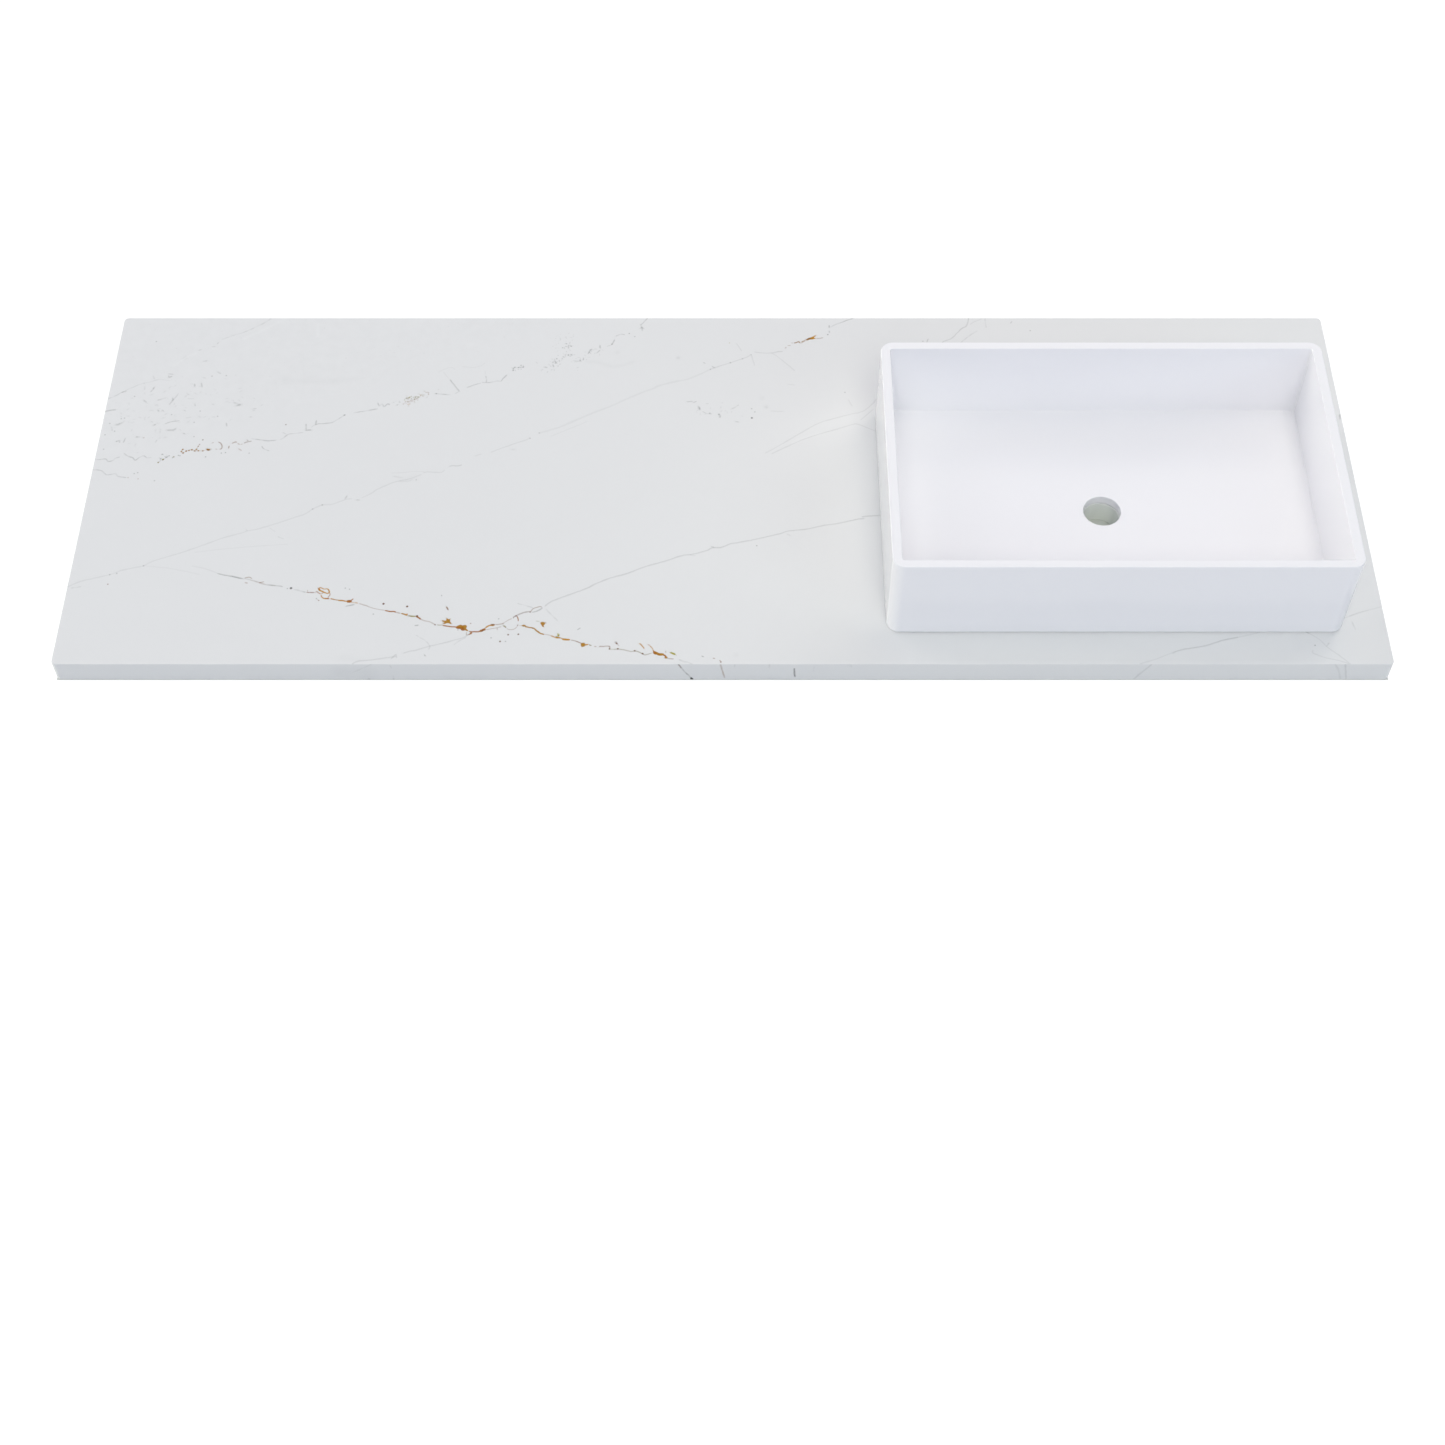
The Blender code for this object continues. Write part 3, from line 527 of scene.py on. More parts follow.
# Loose flecks left of the basin and over the left end
FLECKS = [
    *dashes(Hue.GREY, 4.4, 0.32, ((-776, 114.5), (-768, 117), (-760, 118.5)),
        ((-757.5, 92.6), (-752, 93.4)), ((-754, 94), (-748, 97)), ((-729.5, 72.2), (-723.5, 72.6)),
        ((-692.5, 83.8), (-684.5, 84), (-680.5, 86.8)), ((-616, 130.4), (-611, 129), (-605.6, 125.4)),
        ((-612, 124.6), (-605, 127.5))),
    *dashes(Hue.GREY, 3.2, 0.42, ((-699, 109.5), (-695.6, 112)), ((-702.6, 118), (-700.4, 115)),
        ((-709, 118.5), (-706, 115)), ((-675, 118), (-673.4, 115)), ((-668.4, 163), (-667.4, 157.5)),
        ((-591, 119), (-584, 120.5)), ((-30, 124), (-28, 118)), ((-729, 135), (-724, 130)),
        ((-759, 147.5), (-752, 150)), ((-705, 180), (-697, 179)), ((-704, 173), (-698, 176)),
        ((-743.4, 62), (-741.6, 71)), ((-710.5, 91.6), (-707, 94))),
    *dashes(Hue.GREY, 2.8, 0.32, ((-693, 139), (-691, 136), (-686, 147)), ((-695, 127), (-691, 137)),
        ((-712, 134), (-700, 139)), ((-697, 94), (-689, 97.6), (-678, 100)), ((-672, 104), (-664, 106)),
        ((-620, 97), (-618, 89)), ((-660, 174), (-655, 172)), ((-660, 165), (-658, 156)),
        ((-665, 137), (-674, 137)), ((-664, 130), (-662, 124)), ((-715, 98.5), (-711, 97)),
        ((-752, 65), (-747, 67)), ((-704, 62), (-702, 68)), ((-700, 84), (-700, 78)),
        ((-723, 177), (-720, 170)), ((-731, 159), (-730, 152)), ((-718, 158), (-722, 148)),
        ((-672, 79), (-668, 77)), ((-762, 90), (-760, 82)), ((-640, 106), (-634, 106)),
        ((-578, 127), (-580, 125)), ((-590, 116), (-586, 118)), ((-592, 106), (-589, 106)),
        ((-637, 180), (-643, 184)), ((-667, 223), (-672, 221)), ((-664, 201.5), (-657, 203)),
        ((-656, 228), (-650, 228)), ((-649, 232), (-647, 236)), ((-46, 132), (-37, 132.5)),
        ((-38, 130), (-32, 133)), ((-22, 128.5), (-17, 128.5)), ((-26, 116), (-20, 112), (-14, 111)),
        ((11, 119.5), (15, 122), (21, 127)), ((12, 116), (11, 113)), ((15, 99), (21, 97)),
        ((-2, 130), (1, 130)), ((262, 235), (265, 243)), ((-14, 194), (-9.5, 190)),
        ((-25.5, 200.5), (-21, 198)), ((-14.5, -103.5), (-9.5, -105)), ((77, -84), (82, -87)),
        ((-446, -30.5), (-440, -31)), ((-574, -76.5), (-572, -80)), ((-460, -30), (-457, -23)),
        ((700, -254), (704, -248)), ((375, 274), (372, 269))),
    *dots(Hue.GREY, 2.8, 0.42, (25.5, 206.3), (36.6, 213.6), (-375, 2)),
    *dots(Hue.GREY, 3.0, 0.5, (-727, -147), (-719, -145), (-689, -133.5), (-497, -45), (-486, -38.5),
        (-4.5, 110.5), (-3, 106), (-16, 112.5), (-239, 70), (-228, 79), (-722, 12), (-718, 13.5),
        (-695.5, 0.5), (-748, 104), (-741, 141), (-690, 110), (-660, 97), (-657, 73), (-632, 107),
        (-545, 93), (-765, 95), (-752, 103), (-585, 45.5), (36.5, 120), (40.5, 114.5), (-752, 65),
        (-748, 64), (-727.5, 237), (-648, 176), (-630, 177), (-655, 116), (-113, 246), (154.5, 148),
        (-757, 82), (-768, 76), (-766, 52), (10, 199.5), (-15.5, 188), (257.5, 237.5), (397, 256.5),
        (-703, 176)),
    *dots(Hue.UMBER, 3.0, 0.45, (-719, 71), (-716, 3.5), (-728.5, 5.5), (-545, 93), (-645.2, 67.4)),
    *dots(Hue.GREY, 2.8, 0.75, (687, -252)),
    *veins(Hue.GREY, 3.0, 0.4, ((-2, 107), (-6, 111))),
    *dots(Hue.COAL, 3.8, 1.1, (36.7, 104.3)),
    *veins(Hue.COAL, 3.0, 0.4, ((772, 101), (773, 111))),
    *dots(Hue.GREY, 11.0, 0.05, (55, 123.5), (-56, 208), (15.5, -266), (-687, 208), (50, 138),
        (-134.8, 217.8)),
    *veins(Hue.GREY, 16.0, 0.035, ((-395, 0), (-375, 6)), ((-460, 172), (-510, 166), (-560, 170)),
        ((-440, -270), (-415, -275))),
    *veins(Hue.CHALK, 7.0, 0.15, ((-617, 241), (-595, 256), (-570, 275), (-560, 286)),
        ((-700, 193), (-692, 202), (-680, 213), (-672, 216)), ((85, 63), (100, 70), (120, 79)),
        ((-521, 245), (-523, 270))),
    *veins(Hue.GREY, 4.2, 0.22, ((-31, 125.5), (-28.5, 117.5))),
    *veins(Hue.GREY, 3.2, 0.12, ((60, 116), (77, 115)), ((82, 162), (92, 160.5)), ((158, 136), (163, 124))),
    *dots(Hue.GREY, 7.0, 0.1, (55, 122.5), (-57, 208)),
    *crumbs(Hue.GREY, 3.0, 0.15, 60, (-715, 110), (60, 50), 20, 21),
    *crumbs(Hue.GREY, 3.0, 0.13, 30, (-640, 135), (60, 45), 20, 22),
    *crumbs(Hue.GREY, 2.4, 0.16, 14, (-8, 115), (30, 14), 0, 23),
    *dots(Hue.GREY, 3.2, 0.25, (-728, 72.4)),
    *veins(Hue.GREY, 2.8, 0.11, ((733, -209.6), (745, -204.5), (758, -200.2))),
]

# Marks on the front edge, in millimetres along it and up from the underside
FRONT_MARKS = [
    *dashes(Hue.COAL, 3.0, 0.55, ((-51, 31), (-49, 26), (-46, 20), (-43, 14.5), (-40, 9.5), (-36, 3))),
    *veins(Hue.UMBER, 2.6, 0.45, ((-51, 31), (-49, 26), (-47, 22))),
    *veins(Hue.COAL, 5.0, 3.0, ((-36.6, 4), (-35.2, -1))),
    *veins(Hue.UMBER, 2.8, 0.5, ((-2.5, 31), (-1, 22), (0.5, 14), (2.5, 3))),
    *veins(Hue.RUST, 2.6, 0.2, ((-0.5, 18), (2, 7))),
    *veins(Hue.COAL, 3.0, 0.95, ((82.8, 23), (83.2, 15), (84.2, 5))),
    *veins(Hue.GREY, 3.4, 0.24, ((495, 31), (490, 22), (484, 12), (477, -1)),
        ((717.5, 31), (720.5, 19), (725.5, -1))),
    *veins(Hue.GREY, 3.4, 0.15, ((705, 31), (708.5, 26), (713, 17), (719, -1))),
    *dashes(Hue.GREY, 2.6, 0.15, ((14, 31), (14, 23)), ((54, 31), (54, 22)), ((106, 26), (105, 16)),
        ((-403, 31), (-412, 25), (-430, 13)), ((-384, 29), (-382, 22)), ((-382, 9), (-382.5, -1)),
        ((148, 31), (149, 24))),
    *dots(Hue.GREY, 4.0, 0.34, (-411, 1.5), (-382.5, 1)),
    *veins(Hue.GREY, 34.0, 0.07, ((-446, 15), (-428, 15), (-412, 15))),
]


def smooth_path(points: Sequence[Point], step: float) -> np.ndarray:
    """Follow given points with a Catmull-Rom curve.

    Args:
        points: At least two points.
        step: Longest distance between points of the result.

    Returns:
        Points along the curve, one row each.
    """
    first = 2 * np.array(points[0]) - points[1]
    last = 2 * np.array(points[-1]) - points[-2]
    control = np.array([first, *points, last], float)
    stretches = []
    for before, start, end, after in zip(control, control[1:], control[2:], control[3:]):
        count = max(2, math.ceil(np.linalg.norm(end - start) / step))
        t = np.linspace(0, 1, count, endpoint=False)[:, None]
        slope = (end - before) * t
        bend = (2 * before - 5 * start + 4 * end - after) * t**2
        twist = (3 * start - before - 3 * end + after) * t**3
        stretches.append(0.5 * (2 * start + slope + bend + twist))
    return np.vstack([*stretches, control[-2:-1]])


def directions(points: np.ndarray) -> np.ndarray:
    """Give the direction of a path at each of its points."""
    along = np.gradient(points, axis=0)
    return along / np.maximum(np.linalg.norm(along, axis=1, keepdims=True), TINY)


def leftwards(along: np.ndarray) -> np.ndarray:
    """Turn directions in the plane to the left by a right angle."""
    return np.column_stack([-along[:, 1], along[:, 0]])


def circle(centre: Point | np.ndarray, radius: float, count: int) -> np.ndarray:
    """Give a number of points round a centre, anticlockwise."""
    angle = np.arange(count) * math.tau / count
    return np.array(centre) + radius * np.column_stack([np.cos(angle), np.sin(angle)])


@dataclass(frozen=True)
class Trace:
    """A mark followed finely, in metres: its centre points with the half width and cover at each."""

    centre: np.ndarray
    half: np.ndarray
    cover: np.ndarray
    colour: np.ndarray
    dot_sides: int = 10

    def sides(self) -> tuple[np.ndarray, np.ndarray]:
        """Give the lines where the mark fades out, left and right of the points between its ends."""
        across = leftwards(directions(self.centre)) * self.half[:, None]
        return (self.centre + across)[1:-1], (self.centre - across)[1:-1]

    def ring(self, gap: float) -> np.ndarray:
        """Give points round a dot, a gap away from its edge."""
        return circle(self.centre[0], self.half[0] + gap, self.dot_sides)

    def guard(self, stride: int, gap: float) -> np.ndarray:
        """Give loose points beside the mark, so that its colour stays inside.

        Args:
            stride: How many of its points one pair of them serves.
            gap: How far outside they lie.

        Returns:
            The points, one row each.
        """
        if len(self.centre) == 1:
            return self.ring(gap)
        least_on_a_side = 3
        along = directions(self.centre)
        reach = self.half.max() + gap
        across = leftwards(along) * reach
        ends = [self.centre[0] - along[0] * reach, self.centre[-1] + along[-1] * reach]
        stride = max(1, min(stride, len(self.centre) // least_on_a_side))
        return np.vstack([(self.centre + across)[::stride], (self.centre - across)[::stride], ends])


class Wave(Enum):
    """What a mark's waves change, each on its own plane of the noise."""

    PLACE = 0.0
    COVER = 5.3
    WIDTH = 10.6


@dataclass(frozen=True)
class StonePattern:
    """Marks of one face of the stone, followed finely and ready to be laid into a mesh.

    The lengths are in millimetres. The taper is what an end takes up, or its share of a short mark.
    """

    marks: Sequence[Mark]
    step: float = 1.1
    wander: float = 0.22
    wander_length: float = 4.5
    taper: float = 1.4
    taper_share: float = 0.3
    taper_power: float = 0.6
    flow_change: float = 0.9
    width_change: float = 0.25
    wave_height: float = 1.6
    row_gap: float = 3.7
    seed: int = 11

    def wave(self, index: int, along: np.ndarray, length: float, use: Wave) -> np.ndarray:
        """Give smooth values of about -1 to 1 along a mark.

        Args:
            index: The mark's place in the list, so that no two marks are alike.
            along: Distances along the mark in millimetres.
            length: Wave length in millimetres.
            use: What the values are for.

        Returns:
            One value for each distance.
        """
        row = self.seed + self.row_gap * index
        values = [noise.noise(Vector((distance / length, row, use.value))) for distance in along]
        return np.array(values) * self.wave_height

    def trace(self, index: int, mark: Mark) -> Trace:
        """Follow one mark.

        Args:
            index: Its place in the list.
            mark: The mark.

        Returns:
            Its centre points and what it holds at each.
        """
        colour = mark.pigment.linear()
        if len(mark.path) == 1:
            centre = np.array(mark.path, float) * MM
            return Trace(centre, np.array([mark.width / 2 * MM]), np.array([mark.cover]), colour)
        centre = smooth_path(mark.path, self.step)
        along = np.concatenate([[0], np.cumsum(np.linalg.norm(np.diff(centre, axis=0), axis=1))])
        from_end = np.minimum(along, along[-1] - along)
        taper = min(self.taper, along[-1] * self.taper_share)
        ease = np.clip(from_end / taper, 0, 1) ** self.taper_power
        shift = self.wander * ease * self.wave(index, along, self.wander_length, Wave.PLACE)
        centre = centre + leftwards(directions(centre)) * shift[:, None]
        least, most, length = mark.flow.value
        level = 0.5 + self.flow_change * self.wave(index, along, length, Wave.COVER)
        share = least + (most - least) * np.clip(level, 0, 1)
        thick = 1 + self.width_change * self.wave(index, along, 2 * self.wander_length, Wave.WIDTH)
        half = mark.width / 2 * MM * thick * ease
        return Trace(centre * MM, half, mark.cover * share * ease, colour)

    def traces(self) -> list[Trace]:
        """Follow every mark."""
        return [self.trace(index, mark) for index, mark in enumerate(self.marks)]


def cover_of(trace: Trace, points: np.ndarray) -> np.ndarray:
    """Work out how much of the stone's colour a mark hides.

    Args:
        trace: The mark.
        points: Places on the stone, one row each.

    Returns:
        The share hidden at each place.
    """
    if len(trace.centre) == 1:
        distance = np.linalg.norm(points - trace.centre[0], axis=1)
        return trace.cover[0] * np.clip(1 - distance / trace.half[0], 0, 1)
    best = np.zeros(len(points))
    least_half = 1e-7
    least_square = 1e-18
    for row in range(len(trace.centre) - 1):
        start, end = trace.centre[row], trace.centre[row + 1]
        reach = max(trace.half[row], trace.half[row + 1])
        low = np.minimum(start, end) - reach
        high = np.maximum(start, end) + reach
        near = np.nonzero(np.all((points >= low) & (points <= high), axis=1))[0]
        if not len(near):
            continue
        along = end - start
        share = np.clip((points[near] - start) @ along / max(along @ along, least_square), 0, 1)
        distance = np.linalg.norm(points[near] - (start + share[:, None] * along), axis=1)
        half = trace.half[row] * (1 - share) + trace.half[row + 1] * share + least_half
        cover = trace.cover[row] * (1 - share) + trace.cover[row + 1] * share
        best[near] = np.maximum(best[near], cover * np.clip(1 - distance / half, 0, 1))
    return best


def pigment_at(traces: Sequence[Trace], points: np.ndarray) -> np.ndarray:
    """Mix the colours of all marks at places on the stone.

    Args:
        traces: The marks.
        points: Places on the stone, one row each, in metres.

    Returns:
        Red, green, blue and cover at each place. Where marks overlap, the strongest one's colour
        leads, and a bare place keeps its nearest mark's colour.
    """
    halo_growth, halo_width, halo_reach, halo_share = 1.6, 0.0004, 0.0005, 1e-5
    bare_weight = 1e-10
    weight = np.full(len(points), bare_weight)
    cover_sum = np.zeros(len(points))
    colour = np.outer(weight, Hue.GREY.linear())
    order = np.argsort(points[:, 0])
    sorted_x = points[order, 0]
    for trace in traces:
        reach = trace.half.max() * halo_growth + halo_reach
        low = np.searchsorted(sorted_x, trace.centre[:, 0].min() - reach)
        high = np.searchsorted(sorted_x, trace.centre[:, 0].max() + reach)
        some = order[low:high]
        within = points[some, 1] >= trace.centre[:, 1].min() - reach
        within &= points[some, 1] <= trace.centre[:, 1].max() + reach
        some = some[within]
        if not len(some):
            continue
        cover = cover_of(trace, points[some])
        halo = Trace(trace.centre, trace.half * halo_growth + halo_width, trace.cover, trace.colour)
        share = cover**2 + halo_share * cover_of(halo, points[some])
        colour[some] += share[:, None] * trace.colour
        weight[some] += share
        cover_sum[some] += cover
    return np.column_stack([colour / weight[:, None], cover_sum])


@dataclass(frozen=True)
class RoundedPlate:
    """A rectangle with round corners, centred on the origin."""

    half_x: float
    half_y: float
    radius: float
    corner_steps: int = 6

    @property
    def inner(self) -> np.ndarray:
        """Give the centre of the corner's arc at the right and the back."""
        return np.array([self.half_x - self.radius, self.half_y - self.radius])

    @staticmethod
    def stations(start: np.ndarray, end: np.ndarray, busy: np.ndarray, coarse: float,
                 fine: float) -> list[np.ndarray]:
        """Space points along a straight side, closer where marks reach it.

        Args:
            start: First point of the side.
            end: Last point, which is left out.
            busy: Rows of x, y and radius, where the points are close.
            coarse: Spacing elsewhere.
            fine: Spacing there.

        Returns:
            Points along the side, the first one included.
        """
        length = float(np.linalg.norm(end - start))
        along, found = 0.0, []
        while along < length - fine / 2:
            point = start + (end - start) * (along / length)
            found.append(point)
            near = len(busy) and bool(np.any(np.hypot(*(busy[:, :2] - point).T) < busy[:, 2]))
            along += fine if near else coarse
        return found

    def outline(self, busy: np.ndarray, coarse: float = 0.006, fine: float = 0.0008) -> np.ndarray:
        """Go once round the plate, anticlockwise.

        Args:
            busy: Rows of x, y and radius, where the points are close.
            coarse: Spacing on the straight sides.
            fine: Spacing near those places.

        Returns:
            Points of the outline, one row each.
        """
        signs = ((1, 1), (-1, 1), (-1, -1), (1, -1))
        points: list[np.ndarray] = []
        for corner, sign in enumerate(signs):
            for step in range(self.corner_steps + 1):
                points.append(self.on_arc(sign, (corner + step / self.corner_steps) * math.pi / 2))
            goal = self.on_arc(signs[(corner + 1) % len(signs)], (corner + 1) * math.pi / 2)
            points.extend(self.stations(points[-1], goal, busy, coarse, fine)[1:])
        return np.array(points)

    def on_arc(self, sign: Point, angle: float) -> np.ndarray:
        """Give a point of a corner's arc, the corner told by the signs of its X and Y."""
        return self.inner * sign + self.radius * np.array([math.cos(angle), math.sin(angle)])

    def outward(self, points: np.ndarray) -> np.ndarray:
        """Give the direction that leads straight out of the plate at each point of its outline."""
        past = points - np.clip(points, -self.inner, self.inner)
        return past / np.linalg.norm(past, axis=1, keepdims=True)

    def holds(self, points: np.ndarray) -> np.ndarray:
        """Say which points lie inside the outline, whose corners are straight pieces.

        Args:
            points: The points, one row each.

        Returns:
            True where a point is inside.
        """
        past = np.abs(points) - self.inner
        in_corner = np.all(past > 0, axis=1)
        in_cross = np.all(past < self.radius, axis=1)
        return np.where(in_corner, inside_arc(past, self.radius, self.corner_steps), in_cross)


def inside_arc(offsets: np.ndarray, radius: float, steps_per_quarter: int) -> np.ndarray:
    """Say which offsets from an arc's centre lie inside it, the arc taken as straight pieces.

    Args:
        offsets: Offsets from the centre, one row each.
        radius: The arc's radius.
        steps_per_quarter: Straight pieces in a quarter turn.

    Returns:
        True where an offset is inside.
    """
    piece = math.pi / 2 / steps_per_quarter
    angle = np.mod(np.arctan2(offsets[:, 1], offsets[:, 0]), piece) - piece / 2
    return np.hypot(offsets[:, 0], offsets[:, 1]) * np.cos(angle) < radius * math.cos(piece / 2)


@dataclass
class Drawing:
    """Points and lines in a plane, to be filled with triangles that follow them."""

    groups: list[np.ndarray] = field(default_factory=list)
    lines: list[tuple[int, int]] = field(default_factory=list)
    count: int = 0

    def lay(self, points: np.ndarray, closed: bool = False, linked: bool = True) -> range:
        """Add points.

        Args:
            points: The points, one row each.
            closed: Whether the last one links back to the first.
            linked: Whether lines run from each to the next.

        Returns:
            Their rows in the drawing.
        """
        rows = range(self.count, self.count + len(points))
        self.groups.append(points)
        if linked:
            self.lines.extend(zip(rows, rows[1:]))
        if closed:
            self.lines.append((rows[-1], rows[0]))
        self.count += len(points)
        return rows

    def triangles(self) -> tuple[np.ndarray, np.ndarray, np.ndarray]:
        """Fill the plane.

        Returns:
            Points, triangles of their rows, anticlockwise, and the row at which each laid point ended up.
        """
        whole_hull = 0
        laid_points = [Vector(row) for row in np.vstack(self.groups)]
        found = delaunay_2d_cdt(laid_points, self.lines, [], whole_hull, MERGE_WITHIN, True)
        points = np.array([tuple(point) for point in found[0]])
        triangles = np.array(found[2])
        corners = points[triangles]
        first, second = corners[:, 1] - corners[:, 0], corners[:, 2] - corners[:, 0]
        turn = first[:, 0] * second[:, 1] - first[:, 1] * second[:, 0]
        triangles[turn < 0] = triangles[turn < 0][:, ::-1]
        place = np.zeros(self.count, int)
        for row, laid in enumerate(found[3]):
            place[laid] = row
        return points, triangles, place


def add_object(name: str, data: bpy.types.ID) -> bpy.types.Object:
    """Put a new object into the scene.

    Args:
        name: Its name.
        data: Its mesh, lamp or camera.

    Returns:
        The object.
    """
    made = bpy.data.objects.new(name, data)
    bpy.context.scene.collection.objects.link(made)
    return made


class Wire:
    """A node's output that takes part in Python expressions."""

    def __init__(self, graph: "Graph", socket: bpy.types.NodeSocket) -> None:
        """Keep the output, and the tree that it belongs to."""
        self.graph = graph
        self.socket = socket

    def other(self, name: str) -> "Wire":
        """Give another output of the same node."""
        return Wire(self.graph, self.socket.node.outputs[name])

    def maths(self, operation: str, *values: "Wire | float") -> "Wire":
        """Add a Math node and give its result."""
        return self.graph.node("ShaderNodeMath", {"operation": operation}, dict(enumerate(values)))

    def __add__(self, value: "Wire | float") -> "Wire":
        """Add a value."""
        return self.maths("ADD", self, value)

    def __radd__(self, value: float) -> "Wire":
        """Add to a number."""
        return self.maths("ADD", value, self)

    def __sub__(self, value: "Wire | float") -> "Wire":
        """Take a value away."""
        return self.maths("SUBTRACT", self, value)

    def __rsub__(self, value: float) -> "Wire":
        """Take this away from a number."""
        return self.maths("SUBTRACT", value, self)

    def __mul__(self, value: "Wire | float") -> "Wire":
        """Multiply by a value."""
        return self.maths("MULTIPLY", self, value)

    def __rmul__(self, value: float) -> "Wire":
        """Multiply a number."""
        return self.maths("MULTIPLY", value, self)

    def __lt__(self, value: "Wire | float") -> "Wire":
        """Give 1 where this is below the value, else 0."""
        return self.maths("LESS_THAN", self, value)

    def __gt__(self, value: "Wire | float") -> "Wire":
        """Give 1 where this is above the value, else 0."""
        return self.maths("GREATER_THAN", self, value)

    def size(self) -> "Wire":
        """Drop the sign."""
        return self.maths("ABSOLUTE", self)

    def or_else(self, value: "Wire | float") -> "Wire":
        """Give the larger of this and a value."""
        return self.maths("MAXIMUM", self, value)

    def ramp(self, low: float, high: float) -> "Wire":
        """Rise smoothly from 0 at low to 1 at high."""
        settings = {"interpolation_type": "SMOOTHSTEP"}
        return self.graph.node("ShaderNodeMapRange", settings, {0: self, 1: low, 2: high, 3: 0.0, 4: 1.0})


class Graph:
    """A node tree that is built by calls, for materials, the world and shapes alike."""

    def __init__(self, tree: bpy.types.NodeTree) -> None:
        """Start on a tree, emptied."""
        self.tree = tree
        tree.nodes.clear()

    def node(self, kind: str, settings: dict | None = None, inputs: dict | None = None,
             output: str | int = 0) -> Wire:
        """Add a node.

        Args:
            kind: The node's type.
            settings: Its own settings, set first.
            inputs: Values or wires of its inputs, by name or number.
            output: Which output to give back.

        Returns:
            That output.
        """
        made = self.tree.nodes.new(kind)
        for name, value in (settings or {}).items():
            setattr(made, name, value)
        for name, value in (inputs or {}).items():
            for single in value if isinstance(value, list) else [value]:
                self.feed(made.inputs[name], single)
        return Wire(self, made.outputs[output])

    def feed(self, socket: bpy.types.NodeSocket, value: object) -> None:
        """Fill an input of a node.

        Args:
            socket: The input.
            value: A wire to link, or the input's own value.
        """
        if isinstance(value, Wire):
            self.tree.links.new(value.socket, socket)
        else:
            socket.default_value = value

    def blend(self, share: Wire | float, first: Wire | Colour, second: Wire | Colour) -> Wire:
        """Mix two colours.

        Args:
            share: How much of the second one there is.
            first: The colour at no share.
            second: The colour at a full share.

        Returns:
            The mix.
        """
        share_in, first_in, second_in, colour_out = 0, 6, 7, 2
        inputs = {share_in: share, first_in: first, second_in: second}
        return self.node("ShaderNodeMix", {"data_type": "RGBA", "clamp_factor": True}, inputs, colour_out)

    def end(self, kind: str, inputs: dict) -> None:
        """Add the tree's closing node, which has inputs only.

        Args:
            kind: The node's type.
            inputs: Values or wires of its inputs, by name.
        """
        made = self.tree.nodes.new(kind)
        for name, value in inputs.items():
            self.feed(made.inputs[name], value)


@dataclass(frozen=True)
class Cloud:
    """Soft noise on a surface.

    The size is the width of its patches in metres, the seed tells it from other clouds, the detail
    is the number of finer layers on top, and rough is the share of each.
    """

    size: float
    seed: float
    detail: float = 2.0
    rough: float = 0.5


@dataclass(frozen=True)
class Ripple:
    """Faint unevenness of a surface: its noise, its depth in metres and how much of it shows."""

    cloud: Cloud
    depth: float
    strength: float


class Shader(Graph):
    """The node tree of a material."""

    def __init__(self, name: str) -> None:
        """Make an empty material.

        Args:
            name: Its name.
        """
        self.material = bpy.data.materials.new(name)
        self.material.use_nodes = True
        super().__init__(self.material.node_tree)

    def place(self) -> Wire:
        """Give the place on the object, in metres."""
        return self.node("ShaderNodeTexCoord", output="Object")

    def cloud(self, place: Wire, cloud: Cloud) -> Wire:
        """Add soft noise with values round 0.

        Args:
            place: Where on the object.
            cloud: What the noise is like.

        Returns:
            The noise.
        """
        inputs = {"Vector": place, "W": cloud.seed, "Scale": 1 / cloud.size, "Detail": cloud.detail,
                  "Roughness": cloud.rough}
        return self.node("ShaderNodeTexNoise", {"noise_dimensions": "4D"}, inputs) - 0.5

    def lighten(self, colour: Wire | Colour, tone: Wire) -> Wire:
        """Multiply a colour by one value."""
        colour = colour if isinstance(colour, Wire) else colour[:3]
        return self.node("ShaderNodeVectorMath", {"operation": "SCALE"}, {0: colour, "Scale": tone})

    def bump(self, place: Wire, ripple: Ripple) -> Wire:
        """Turn a ripple into a bumped normal.

        Args:
            place: Where on the object.
            ripple: What the unevenness is like.

        Returns:
            The normal.
        """
        height = self.cloud(place, ripple.cloud)
        inputs = {"Height": height, "Distance": ripple.depth, "Strength": ripple.strength}
        return self.node("ShaderNodeBump", {}, inputs)

    def surface(self, **inputs: Wire | float | Colour) -> bpy.types.Material:
        """Close the tree with a Principled shader.

        Args:
            **inputs: Its inputs, with _ for a space in their names.

        Returns:
            The material.
        """
        named = {name.replace("_", " "): value for name, value in inputs.items()}
        shader = self.node("ShaderNodeBsdfPrincipled", {}, named)
        self.end("ShaderNodeOutputMaterial", {"Surface": shader})
        return self.material


